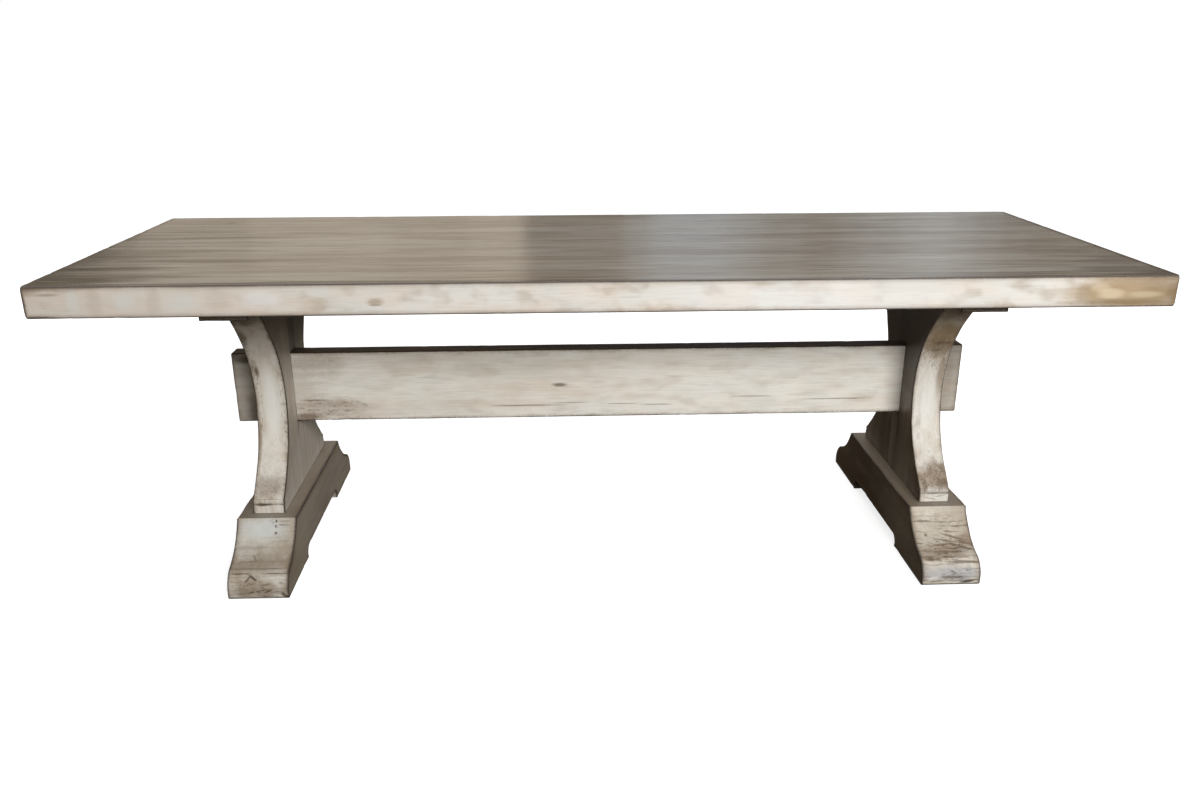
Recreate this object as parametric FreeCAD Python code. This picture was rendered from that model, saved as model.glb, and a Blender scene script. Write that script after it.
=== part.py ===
import FreeCAD, Part
import math
import os

# Trestle dining table: a thick planked top on two hourglass trestles, tied by a through stretcher.
#
# Frame: millimetres, Z up, X along the length of the table and Y across it.
# The origin is on the floor under the middle of the table.
# Each trestle is a sled foot, a built-up post and a cleat. The post is two curved leaves,
# front and rear, glued to an upper and a lower core block. The space that the two blocks
# leave between them is the mortise that the stretcher runs through.
# The top lifts off: bolts pass up through slots in the cleats into threaded inserts, and their
# heads hang in pockets.

# ---------------------------------------------------------------------------
# Driving dimensions
# ---------------------------------------------------------------------------

# Top
top_length = 2438.0
top_width = 990.0
top_surface_height = 762.0       # floor to the upper face
top_thickness = 67.5
top_corner_radius = 9.0          # seen from above
top_arris_radius = 3.0           # upper and lower edges, all round
centre_plank_width = 187.0       # two planks, side by side at the middle
middle_plank_width = 175.0       # the next one outwards on each side
seam_groove_depth = 0.8          # small V where two planks meet
tongue_thickness = 12.0          # loose tongue glued into both planks of a seam
tongue_width = 44.0
tongue_setback = 70.0            # from the end of the top to the end of the tongue
tongue_glue_gap = 0.5            # left at the bottom and the ends of its groove

# Trestles
trestle_setback = 386.0          # from the end of the top to the middle of a trestle

# Cleat, under the top
cleat_length = 840.0
cleat_width = 106.0
cleat_thickness = 26.0
cleat_end_chamfer = 5.0

# Foot
foot_width = 145.0
foot_height = 147.0
foot_length = 862.0
shoulder_margin = 31.0           # the foot's flat top, past each end of the post's plinth
cove_end_inset = 33.0            # from the toe back to the crease where the cove stops
crease_height = 64.0
cove_sag = 14.0                  # how far the cove bows below its chord
nose_height = 25.0               # the upright face of the toe, below the rounded nose
nose_bulge = 6.0                 # how far the nose bows above its chord
toe_bevel = 4.0                  # at the floor
pad_length = 228.0               # the part of each end that stands on the floor
arch_height = 28.0               # the hollow between the pads
arch_corner_radius = 22.0

# Post
post_thickness = 77.0            # along X
plinth_length = 508.0
plinth_face_height = 20.0        # flat face under the groove
plinth_groove_depth = 3.0
plinth_groove_height = 4.0
plinth_bead_height = 10.0        # rounded bead over the groove
plinth_bead_setback = 2.0
curve_start_setback = 8.0        # from the plinth's face back to where the curve starts
curve_start_angle = 48.0         # from the horizontal
curve_start_pull = 50.0          # length of the curve's handle there
waist_half = 120.0
waist_height = 401.0
waist_pull_down = 136.0
waist_pull_up = 124.0
curve_end_half = 280.0           # half the post's depth where the curve ends, near the top
curve_end_angle = 42.5
curve_end_pull = 82.0
post_arris_radius = 2.5
head_face_height = 16.5          # upright face between the curve and the cleat

# Tenons under the leaves, in mortises in the foot
tenon_thickness = 28.0
tenon_width = 130.0
tenon_centre = 125.0             # from the middle of the post
tenon_glue_gap = 2.0             # under the tenon
mortise_floor_wood = 26.0        # left between the tenon's mortise and the lag screw's washer

# Stretcher
stretcher_height = 183.0
stretcher_thickness = 53.0
stretcher_underside_height = 312.0
stretcher_end_projection = 74.5  # past the outer face of each post
stretcher_end_corner_radius = 4.0
stretcher_arris_radius = 3.0

# Dowels across the post's glue lines, evenly spread over each core block
dowel_radius = 6.0
dowel_bite = 34.0                # into each leaf
dowels_per_core = 2

# Foot lag screws, up through the foot into the tenons
foot_lag_shank_radius = 5.0
foot_lag_reach = 12.5            # past the top of the foot, into the leaf
foot_lag_head_radius = 9.0
foot_lag_head_height = 7.0
foot_lag_pocket_radius = 14.0
foot_lag_pocket_depth = 16.0     # above the hollow of the foot
foot_washer_radius = 12.5
foot_washer_thickness = 2.5

# Stretcher lag screws, through the rear leaf, under wooden plugs
stretcher_lag_shank_radius = 4.0
stretcher_lag_bite = 42.0        # into the stretcher
stretcher_lag_head_radius = 7.5
stretcher_lag_head_height = 5.5
stretcher_lag_rise = 45.0        # above and below the middle of the stretcher
plug_radius = 10.0
plug_length = 23.0               # at the narrowest part of the post
plug_gap = 3.0                   # between the screw head and the plug

# Screws from the cleat down into the leaves
cleat_screw_shank_radius = 3.0
cleat_screw_head_radius = 6.0
cleat_screw_length = 90.0
cleat_screw_core_distance = 53.5 # inner screw, from the core block
cleat_screw_end_distance = 80.0  # outer screw, from the leaf's upper end

# Bolts from the cleat up into the top
top_bolt_shank_radius = 4.0
top_bolt_head_radius = 7.0
top_bolt_head_height = 5.0
top_bolt_dome_radius = 3.0
top_bolt_socket_width = 5.0      # across the flats
top_bolt_socket_depth = 3.0
top_bolt_end_gap = 2.0           # between the bolt and the bottom of its hole
top_bolt_slot_play = 4.0         # each way, across the grain of the top
top_bolt_slot_clearance = 0.5    # sideways
top_bolt_pocket_depth = 9.0      # up into the cleat, so that washer and head hang inside it
top_bolt_pocket_clearance = 1.0  # around the washer
top_bolt_post_distance = 40.0    # inner bolt, from the leaf's upper end
top_bolt_end_distance = 28.0     # outer bolt, from the end of the cleat
top_bolt_stagger = 25.0          # either side of the cleat's centre line
top_washer_radius = 11.0
top_washer_thickness = 2.0
insert_radius = 6.5
insert_length = 25.0
insert_flange_radius = 9.0
insert_flange_thickness = 2.0

# ---------------------------------------------------------------------------
# Heights and faces that follow from them
# ---------------------------------------------------------------------------

top_underside = top_surface_height - top_thickness
cleat_underside = top_underside - cleat_thickness
post_bottom = foot_height
post_top = cleat_underside
plinth_half = plinth_length / 2
plinth_top = post_bottom + plinth_face_height + plinth_groove_height + plinth_bead_height
curve_start_half = plinth_half - curve_start_setback
curve_end_height = post_top - head_face_height
core_half = stretcher_thickness / 2
mortise_floor = stretcher_underside_height
mortise_ceiling = stretcher_underside_height + stretcher_height
stretcher_middle = (mortise_floor + mortise_ceiling) / 2
foot_ceiling = arch_height + foot_lag_pocket_depth
foot_washer_seat = foot_ceiling - foot_washer_thickness
tenon_depth = foot_height - foot_ceiling - mortise_floor_wood - tenon_glue_gap
plug_start = waist_half - plug_length
stretcher_lag_seat = plug_start - plug_gap - stretcher_lag_head_height
trestle_x = top_length / 2 - trestle_setback
stretcher_length = 2 * trestle_x + post_thickness + 2 * stretcher_end_projection
seam_positions = [
    -centre_plank_width - middle_plank_width,
    -centre_plank_width,
    0.0,
    centre_plank_width,
    centre_plank_width + middle_plank_width,
]
trestles = {"left": -trestle_x, "right": trestle_x}
flat_limit = 1.0                 # an edge that spans less than this along an axis is square to it

# ---------------------------------------------------------------------------
# Small helpers
# ---------------------------------------------------------------------------


def vector(x, y, z):
    return FreeCAD.Vector(x, y, z)


def block(x_range, y_range, z_range):
    """A rectangular block between the given limits."""
    size = [high - low for low, high in (x_range, y_range, z_range)]
    return Part.makeBox(*size, vector(x_range[0], y_range[0], z_range[0]))


def rod(radius, start, end):
    """A round bar from one point to another."""
    axis = end.sub(start)
    return Part.makeCylinder(radius, axis.Length, start, axis)


def side_slab(edges, thickness):
    """Thicken a closed outline that lies in the YZ plane by half its thickness each way along X."""
    face = Part.Face(Part.Wire(Part.__sortEdges__(edges)))
    slab = face.extrude(vector(thickness, 0, 0))
    slab.translate(vector(-thickness / 2, 0, 0))
    return slab


def line(start, end):
    return Part.LineSegment(vector(0, *start), vector(0, *end)).toShape()


def polyline(points):
    return [line(a, b) for a, b in zip(points, points[1:])]


def bowed_arc(start, end, bow):
    """An arc from start to end whose middle stands off its chord by bow, to the left of the way."""
    along_y, along_z = end[0] - start[0], end[1] - start[1]
    chord = math.hypot(along_y, along_z)
    middle_y = (start[0] + end[0]) / 2 - along_z / chord * bow
    middle_z = (start[1] + end[1]) / 2 + along_y / chord * bow
    return Part.Arc(vector(0, *start), vector(0, middle_y, middle_z), vector(0, *end)).toShape()


def flip_y(shape):
    """The same piece on the other side of the XZ plane."""
    return shape.mirror(vector(0, 0, 0), vector(0, 1, 0))


def moved(shape, x=0.0, y=0.0, z=0.0):
    placed = shape.copy()
    placed.translate(vector(x, y, z))
    return placed


def both_sides(shape):
    return [shape, flip_y(shape)]


def cut_all(shape, tools):
    return shape.cut(Part.makeCompound(tools))


def save(name, shapes):
    """Write one node: a single solid, or a group of separate solids."""
    solids = [solid for shape in shapes for solid in shape.Solids]
    result = solids[0] if len(solids) == 1 else Part.makeCompound(solids)
    result.exportStep(f"parts/{name}.step")
    volume = sum(solid.Volume for solid in solids) / 1e6
    print(f"{name:26s} solids {len(solids):2d}  valid {result.isValid()}  litres {volume:8.3f}")


# ---------------------------------------------------------------------------
# Fasteners, each about its own axis with the head at z = 0 and the shank along +Z
# ---------------------------------------------------------------------------


def hexagon(across_corners_radius, height):
    corners = [
        vector(across_corners_radius * math.cos(turn), across_corners_radius * math.sin(turn), 0)
        for turn in [math.radians(60 * k) for k in range(7)]
    ]
    return Part.Face(Part.makePolygon(corners)).extrude(vector(0, 0, height))


def lag_screw(head_radius, head_height, shank_radius, length):
    """A hexagon head below z = 0 and a shank with a conical point above it."""
    head = moved(hexagon(head_radius, head_height), z=-head_height)
    shank = Part.makeCylinder(shank_radius, length - 2 * shank_radius)
    point = Part.makeCone(shank_radius, 0, 2 * shank_radius, vector(0, 0, length - 2 * shank_radius))
    return head.fuse([shank, point]).removeSplitter()


def countersunk_screw(head_radius, shank_radius, length):
    """A flat-topped screw: the head's face is at z = 0 and the point is at z = -length."""
    head_depth = head_radius - shank_radius
    head = Part.makeCone(shank_radius, head_radius, head_depth, vector(0, 0, -head_depth))
    shank_length = length - head_depth - 2 * shank_radius
    shank = Part.makeCylinder(shank_radius, shank_length, vector(0, 0, -head_depth - shank_length))
    point = Part.makeCone(0, shank_radius, 2 * shank_radius, vector(0, 0, -length))
    return head.fuse([shank, point]).removeSplitter()


def ring(outer_radius, inner_radius, thickness):
    return Part.makeCylinder(outer_radius, thickness).cut(Part.makeCylinder(inner_radius, thickness))


# ---------------------------------------------------------------------------
# Bolted joint between the cleats and the top
# ---------------------------------------------------------------------------

bolt_hole_depth = insert_length + top_bolt_end_gap
bolt_washer_seat = cleat_underside + top_bolt_pocket_depth
bolt_length = top_washer_thickness + top_underside - bolt_washer_seat + insert_length


def top_bolt_places():
    """Where the bolts stand: staggered about the cleat's centre line, on both sides of the post."""
    inner = curve_end_half + top_bolt_post_distance
    outer = cleat_length / 2 - top_bolt_end_distance
    places = []
    for x in trestles.values():
        for side in (-1, 1):
            places.append((x - side * top_bolt_stagger, side * inner))
            places.append((x + side * top_bolt_stagger, side * outer))
    return places


def top_bolt():
    """A button-head bolt whose head hangs below z = 0."""
    crown = vector(0, 0, -top_bolt_head_height)
    head = Part.makeCylinder(top_bolt_head_radius, top_bolt_head_height, crown)
    dome_edges = [edge for edge in head.Edges if edge.BoundBox.ZMax < -top_bolt_head_height / 2]
    head = head.makeFillet(top_bolt_dome_radius, dome_edges)
    socket = hexagon(top_bolt_socket_width / math.sqrt(3), top_bolt_socket_depth)
    socket.translate(crown)
    shank = Part.makeCylinder(top_bolt_shank_radius, bolt_length)
    return head.cut(socket).fuse(shank).removeSplitter()


def threaded_insert():
    """A sleeve let into the underside of the top, with a thin flange let in flush."""
    sleeve = ring(insert_radius, top_bolt_shank_radius, insert_length)
    flange = ring(insert_flange_radius, top_bolt_shank_radius, insert_flange_thickness)
    return sleeve.fuse(flange).removeSplitter()


def insert_pocket():
    """What the insert and the end of the bolt take out of a plank."""
    sleeve = Part.makeCylinder(insert_radius, insert_length)
    flange = Part.makeCylinder(insert_flange_radius, insert_flange_thickness)
    end_hole = Part.makeCylinder(top_bolt_shank_radius, bolt_hole_depth)
    return sleeve.fuse([flange, end_hole])


# ---------------------------------------------------------------------------
# Top: planks joined by loose tongues
# ---------------------------------------------------------------------------


def top_slab():
    """The whole top before it is divided: rounded corners and eased arrises."""
    half_length, half_width = top_length / 2, top_width / 2
    slab = block((-half_length, half_length), (-half_width, half_width), (top_underside, top_surface_height))
    upright = [edge for edge in slab.Edges if edge.BoundBox.ZLength > top_thickness / 2]
    slab = slab.makeFillet(top_corner_radius, upright)
    around = [edge for edge in slab.Edges if edge.BoundBox.ZLength < flat_limit]
    return slab.makeFillet(top_arris_radius, around)


def seam_grooves():
    """V cuts along the upper and lower edge of every seam."""
    tools = []
    half_length = top_length / 2
    for y in seam_positions:
        for level, inward in ((top_surface_height, -1), (top_underside, 1)):
            corners = [
                vector(-half_length, y - seam_groove_depth, level),
                vector(-half_length, y + seam_groove_depth, level),
                vector(-half_length, y, level + inward * seam_groove_depth),
            ]
            triangle = Part.Face(Part.makePolygon(corners + corners[:1]))
            tools.append(triangle.extrude(vector(top_length, 0, 0)))
    return tools


def tongue(y, glue_gap):
    """The loose tongue of one seam, or its groove when glue_gap is more than nothing."""
    half_length = top_length / 2 - tongue_setback + glue_gap
    half_width = tongue_width / 2 + glue_gap
    middle = (top_surface_height + top_underside) / 2
    half_thickness = tongue_thickness / 2
    return block(
        (-half_length, half_length), (y - half_width, y + half_width),
        (middle - half_thickness, middle + half_thickness),
    )


def make_top():
    slab = top_slab()
    pockets = [moved(insert_pocket(), x, y, top_underside) for x, y in top_bolt_places()]
    grooves = [tongue(y, tongue_glue_gap) for y in seam_positions]
    slab = cut_all(slab, seam_grooves())
    slab = cut_all(slab, pockets)
    edges = [-top_width / 2] + seam_positions + [top_width / 2]
    for number, (front, rear) in enumerate(zip(edges, edges[1:]), start=1):
        strip = block((-top_length, top_length), (front, rear), (0, 2 * top_surface_height))
        plank = cut_all(slab.common(strip), grooves)
        save(f"top_plank_{number}", [plank])
    save("plank_tongues", [tongue(y, 0.0) for y in seam_positions])


# ---------------------------------------------------------------------------
# Cleats
# ---------------------------------------------------------------------------


def cleat_screws(x):
    """The four screws of the trestle at x, down through the cleat into the leaves."""
    inner = core_half + cleat_screw_core_distance
    outer = curve_end_half - cleat_screw_end_distance
    screw = countersunk_screw(cleat_screw_head_radius, cleat_screw_shank_radius, cleat_screw_length)
    return [moved(screw, x, y, top_underside) for y in (-outer, -inner, inner, outer)]


def long_hole(x, y, radius, z_range):
    """A round-ended hole along Y, so that the top can swell and shrink across its grain."""
    ends = [
        rod(radius, vector(x, y + way * top_bolt_slot_play, z_range[0]),
            vector(x, y + way * top_bolt_slot_play, z_range[1]))
        for way in (-1, 1)
    ]
    middle = block((x - radius, x + radius), (y - top_bolt_slot_play, y + top_bolt_slot_play), z_range)
    return middle.fuse(ends)


def bolt_room(x, y):
    """The slot for a bolt's shank, and the pocket for its washer and head."""
    slot_radius = top_bolt_shank_radius + top_bolt_slot_clearance
    pocket_radius = top_washer_radius + top_bolt_pocket_clearance
    slot = long_hole(x, y, slot_radius, (cleat_underside, top_underside))
    return slot.fuse(long_hole(x, y, pocket_radius, (cleat_underside, bolt_washer_seat)))


def make_cleat(name, x):
    half = cleat_length / 2
    under_half = half - cleat_end_chamfer
    chamfer_top = cleat_underside + cleat_end_chamfer
    outline = polyline([
        (-half, top_underside), (-half, chamfer_top), (-under_half, cleat_underside),
        (under_half, cleat_underside), (half, chamfer_top), (half, top_underside), (-half, top_underside),
    ])
    cleat = moved(side_slab(outline, cleat_width), x=x)
    rooms = [bolt_room(*place) for place in top_bolt_places() if abs(place[0] - x) < cleat_width / 2]
    save(f"cleat_{name}", [cut_all(cleat, rooms + cleat_screws(x))])


# ---------------------------------------------------------------------------
# Feet
# ---------------------------------------------------------------------------


def foot_outline():
    """The foot from the side: flat shoulder, cove, rounded nose, pads and the hollow between them."""
    toe = foot_length / 2
    shoulder = plinth_half + shoulder_margin
    crease = (toe - cove_end_inset, crease_height)
    nose = (toe, nose_height)
    pad_end = toe - pad_length
    corner_y = pad_end - arch_corner_radius
    corner_z = arch_height - arch_corner_radius
    half = [
        bowed_arc((shoulder, foot_height), crease, -cove_sag),
        bowed_arc(crease, nose, nose_bulge),
        line(nose, (toe, toe_bevel)),
        line((toe, toe_bevel), (toe - toe_bevel, 0)),
        line((toe - toe_bevel, 0), (pad_end, 0)),
        line((pad_end, 0), (pad_end, corner_z)),
        Part.Arc(
            vector(0, pad_end, corner_z),
            vector(0, corner_y + arch_corner_radius * math.sin(math.pi / 4),
                   corner_z + arch_corner_radius * math.sin(math.pi / 4)),
            vector(0, corner_y, arch_height),
        ).toShape(),
    ]
    across = [line((-shoulder, foot_height), (shoulder, foot_height))]
    across.append(line((-corner_y, arch_height), (corner_y, arch_height)))
    return half + [flip_y(edge) for edge in half] + across


def leaf_tenon(glue_gap):
    """The tenon under the rear leaf, or its mortise when glue_gap is more than nothing."""
    return block(
        (-tenon_thickness / 2, tenon_thickness / 2),
        (tenon_centre - tenon_width / 2, tenon_centre + tenon_width / 2),
        (post_bottom - tenon_depth - glue_gap, post_bottom),
    )


def foot_lag():
    length = foot_height + foot_lag_reach - foot_washer_seat
    screw = lag_screw(foot_lag_head_radius, foot_lag_head_height, foot_lag_shank_radius, length)
    return moved(screw, y=tenon_centre, z=foot_washer_seat)


def foot_lag_room():
    """The pocket for the head, up into the foot from its hollow."""
    return rod(foot_lag_pocket_radius, vector(0, tenon_centre, 0), vector(0, tenon_centre, foot_ceiling))


def make_foot(name, x):
    foot = side_slab(foot_outline(), foot_width)
    tools = both_sides(leaf_tenon(tenon_glue_gap)) + both_sides(foot_lag()) + both_sides(foot_lag_room())
    save(f"foot_{name}", [moved(cut_all(foot, tools), x=x)])


# ---------------------------------------------------------------------------
# Posts
# ---------------------------------------------------------------------------


def leaf_outline():
    """The rear leaf from the side: plinth face, groove, bead, hourglass curve and head face."""
    groove_low = post_bottom + plinth_face_height
    groove_high = groove_low + plinth_groove_height
    groove_middle = (groove_low + groove_high) / 2
    bead_half = plinth_half - plinth_bead_setback
    bead_edge = bead_half - plinth_groove_depth / 2
    curve_start = (curve_start_half, plinth_top)
    curve_end = (curve_end_half, curve_end_height)
    start_turn = math.radians(curve_start_angle)
    end_turn = math.radians(curve_end_angle)
    lower_poles = [
        curve_start,
        (curve_start_half - curve_start_pull * math.cos(start_turn),
         plinth_top + curve_start_pull * math.sin(start_turn)),
        (waist_half, waist_height - waist_pull_down),
        (waist_half, waist_height),
    ]
    upper_poles = [
        (waist_half, waist_height),
        (waist_half, waist_height + waist_pull_up),
        (curve_end_half - curve_end_pull * math.cos(end_turn),
         curve_end_height - curve_end_pull * math.sin(end_turn)),
        curve_end,
    ]
    bead = Part.Arc(
        vector(0, bead_edge, groove_high),
        vector(0, bead_half, (groove_high + plinth_top) / 2),
        vector(0, bead_edge, plinth_top),
    ).toShape()
    edges = polyline([
        (core_half, post_bottom), (plinth_half, post_bottom), (plinth_half, groove_low),
        (plinth_half - plinth_groove_depth, groove_middle), (bead_edge, groove_high),
    ])
    edges.append(bead)
    edges.append(line((bead_edge, plinth_top), curve_start))
    for poles in (lower_poles, upper_poles):
        curve = Part.BezierCurve()
        curve.setPoles([vector(0, *pole) for pole in poles])
        edges.append(curve.toShape())
    edges += polyline([
        curve_end, (curve_end_half, post_top), (core_half, post_top), (core_half, post_bottom),
    ])
    return edges


def leaf_blank():
    """The rear leaf without its tenon, with the arrises of its curve eased."""
    blank = side_slab(leaf_outline(), post_thickness)
    arrises = []
    for edge in blank.Edges:
        box = edge.BoundBox
        along_side = box.XLength < flat_limit and box.YLength > flat_limit
        on_curve = box.ZMin > plinth_top - flat_limit and box.ZMax < post_top - flat_limit
        if along_side and on_curve and box.ZLength > plinth_bead_height:
            arrises.append(edge)
    return blank.makeFillet(post_arris_radius, arrises)


def dowels():
    """The dowels of one post, which run through the core blocks into both leaves."""
    reach = core_half + dowel_bite
    pins = []
    for low, high in ((post_bottom, mortise_floor), (mortise_ceiling, post_top)):
        step = (high - low) / (dowels_per_core + 1)
        for number in range(1, dowels_per_core + 1):
            z = low + number * step
            pins.append(rod(dowel_radius, vector(0, -reach, z), vector(0, reach, z)))
    return pins


def stretcher_lag_heights():
    return [stretcher_middle - stretcher_lag_rise, stretcher_middle + stretcher_lag_rise]


def stretcher_lags():
    """Lag screws along Y, driven from the rear of one post into the stretcher."""
    length = stretcher_lag_seat - core_half + stretcher_lag_bite
    screws = []
    for z in stretcher_lag_heights():
        screw = lag_screw(
            stretcher_lag_head_radius, stretcher_lag_head_height, stretcher_lag_shank_radius, length)
        screw.rotate(vector(0, 0, 0), vector(1, 0, 0), 90)
        screws.append(moved(screw, y=stretcher_lag_seat, z=z))
    return screws


def plug_bores(first_y):
    """Round bores from first_y out past the rear of the post."""
    return [
        rod(plug_radius, vector(0, first_y, z), vector(0, plinth_length, z))
        for z in stretcher_lag_heights()
    ]


def make_post(name, x):
    leaf = leaf_blank().fuse(leaf_tenon(0.0)).removeSplitter()
    fasteners = dowels() + both_sides(foot_lag()) + cleat_screws(0.0)
    front = cut_all(flip_y(leaf), fasteners)
    rear = cut_all(leaf, fasteners + stretcher_lags() + plug_bores(stretcher_lag_seat))
    core_y = (-core_half, core_half)
    half_thickness = post_thickness / 2
    x_range = (-half_thickness, half_thickness)
    lower = cut_all(block(x_range, core_y, (post_bottom, mortise_floor)), dowels())
    upper = cut_all(block(x_range, core_y, (mortise_ceiling, post_top)), dowels())
    save(f"post_front_leaf_{name}", [moved(front, x=x)])
    save(f"post_rear_leaf_{name}", [moved(rear, x=x)])
    save(f"post_lower_core_{name}", [moved(lower, x=x)])
    save(f"post_upper_core_{name}", [moved(upper, x=x)])
    save(f"post_dowels_{name}", [moved(dowel, x=x) for dowel in dowels()])


def plugs():
    """Wooden plugs over the stretcher's screws, trimmed to the rear curve of the leaf."""
    blank = leaf_blank()
    return [blank.common(bore) for bore in plug_bores(plug_start)]


# ---------------------------------------------------------------------------
# Stretcher
# ---------------------------------------------------------------------------


def make_stretcher():
    """One board from end to end, with eased arrises and softened end corners."""
    half_length = stretcher_length / 2
    board = block(
        (-half_length, half_length), (-core_half, core_half), (mortise_floor, mortise_ceiling))
    corners = [edge for edge in board.Edges if edge.BoundBox.YLength > stretcher_thickness / 2]
    board = board.makeFillet(stretcher_end_corner_radius, corners)
    arrises = [edge for edge in board.Edges if edge.BoundBox.YLength < flat_limit]
    board = board.makeFillet(stretcher_arris_radius, arrises)
    screws = [moved(screw, x=x) for x in trestles.values() for screw in stretcher_lags()]
    save("stretcher", [cut_all(board, screws)])


# ---------------------------------------------------------------------------
# Build
# ---------------------------------------------------------------------------

os.makedirs("parts", exist_ok=True)

make_top()
make_stretcher()
for side_name, side_x in trestles.items():
    make_cleat(side_name, side_x)
    make_foot(side_name, side_x)
    make_post(side_name, side_x)

washer = ring(foot_washer_radius, foot_lag_shank_radius, foot_washer_thickness)
washer = moved(washer, y=tenon_centre, z=foot_washer_seat)
both_x = list(trestles.values())
save("foot_lag_screws", [moved(s, x=x) for x in both_x for s in both_sides(foot_lag())])
save("foot_lag_washers", [moved(s, x=x) for x in both_x for s in both_sides(washer)])
save("stretcher_lag_screws", [moved(s, x=x) for x in both_x for s in stretcher_lags()])
save("stretcher_screw_plugs", [moved(s, x=x) for x in both_x for s in plugs()])
save("cleat_screws", [screw for x in both_x for screw in cleat_screws(x)])
bolt_seat = bolt_washer_seat - top_washer_thickness
top_washer = ring(top_washer_radius, top_bolt_shank_radius, top_washer_thickness)
save("top_bolts", [moved(top_bolt(), x, y, bolt_seat) for x, y in top_bolt_places()])
save("top_bolt_washers", [moved(top_washer, x, y, bolt_seat) for x, y in top_bolt_places()])
save("top_threaded_inserts", [moved(threaded_insert(), x, y, top_underside) for x, y in top_bolt_places()])
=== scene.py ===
# %% [markdown]
# # A whitewashed trestle dining table
#
# The table is six thick planks on two hourglass trestles, tied by a through stretcher.
# Its pieces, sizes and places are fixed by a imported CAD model. This lesson dresses them:
# it swaps the sharp CAD boards for softly worn ones, and writes the painted finish.
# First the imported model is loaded. It is the frame that everything else measures from.

# %% Load the frame
import math

import bpy
import numpy as np
from mathutils import Matrix, Vector


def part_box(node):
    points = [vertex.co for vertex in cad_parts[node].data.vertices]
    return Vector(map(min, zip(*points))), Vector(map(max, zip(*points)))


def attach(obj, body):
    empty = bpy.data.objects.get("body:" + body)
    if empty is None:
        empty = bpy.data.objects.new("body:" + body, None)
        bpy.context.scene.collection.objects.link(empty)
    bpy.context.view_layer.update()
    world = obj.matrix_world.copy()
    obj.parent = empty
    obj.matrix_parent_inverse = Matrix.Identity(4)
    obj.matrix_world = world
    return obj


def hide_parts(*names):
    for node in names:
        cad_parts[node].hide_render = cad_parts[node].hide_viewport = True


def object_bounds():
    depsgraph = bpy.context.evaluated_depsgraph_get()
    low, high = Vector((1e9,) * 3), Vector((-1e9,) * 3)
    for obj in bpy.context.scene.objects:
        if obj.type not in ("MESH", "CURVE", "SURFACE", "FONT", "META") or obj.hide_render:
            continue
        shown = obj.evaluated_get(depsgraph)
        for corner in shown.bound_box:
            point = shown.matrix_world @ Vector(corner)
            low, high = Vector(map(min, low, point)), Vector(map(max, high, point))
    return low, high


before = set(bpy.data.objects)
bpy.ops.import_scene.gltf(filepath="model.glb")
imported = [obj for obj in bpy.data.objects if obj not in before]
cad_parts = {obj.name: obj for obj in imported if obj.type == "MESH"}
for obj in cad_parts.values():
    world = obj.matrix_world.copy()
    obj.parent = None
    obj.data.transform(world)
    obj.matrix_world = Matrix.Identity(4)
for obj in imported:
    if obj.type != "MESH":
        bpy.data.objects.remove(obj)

cad_low, cad_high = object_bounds()
frame_size = [round(b - a, 4) for a, b in zip(cad_low, cad_high)]
print("frame", frame_size, "metres,", len(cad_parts), "nodes")

# %% [markdown]
# ## Camera
#
# A table is best shown from standing height, a little left of its middle. Blender gives a lens
# in millimetres on a 36 mm wide sensor, and this camera was levelled with a small shift instead
# of a steeper tilt, so that uprights stay nearly parallel. The pose is built from three turns:
# about the vertical, then about the camera's own sideways axis, then a touch of roll.

# %% Camera
image_width = 1200
image_height = 800
focal_pixels = 1092.0
centre_column = 595.9        # image column that the lens points at
centre_row = 488.8           # image row that the lens points at
camera_place = Vector((-0.1182, -2.7731, 1.2117))
camera_yaw = -0.03775
camera_pitch = -0.38261
camera_roll = 0.00287
sensor_width = 36.0


def camera_turn():
    """Columns right, up and backwards: a turn about Z, then one about X, then one about Y."""
    turn = Matrix.Rotation(camera_yaw, 3, "Z") @ Matrix.Rotation(camera_pitch, 3, "X")
    turn = turn @ Matrix.Rotation(camera_roll, 3, "Y")
    right, forward, up = turn.col
    return Matrix((right, up, -forward)).transposed()


camera_data = bpy.data.cameras.new("camera")
camera_data.sensor_width = sensor_width
camera_data.lens = focal_pixels / image_width * sensor_width
camera_data.shift_x = (image_width / 2 - centre_column) / image_width
camera_data.shift_y = (centre_row - image_height / 2) / image_width
camera = bpy.data.objects.new("camera", camera_data)
camera.matrix_world = Matrix.Translation(camera_place) @ camera_turn().to_4x4()
bpy.context.scene.collection.objects.link(camera)
bpy.context.scene.camera = camera
shift = [round(share, 4) for share in (camera_data.shift_x, camera_data.shift_y)]
print("lens", round(camera_data.lens, 2), "mm, shift", shift)

# %% [markdown]
# ## Shader arithmetic
#
# A painted finish is a recipe: this much glaze where the grain is deep, less where a hand rubbed it.
# Node graphs hide such a recipe in boxes and wires, so a small class lets it be written as sums.
# Adding two wires makes a Math node. Everything that isn't a sum comes from `node`, which takes
# the node's type, its settings, and the values or wires for its sockets.

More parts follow.
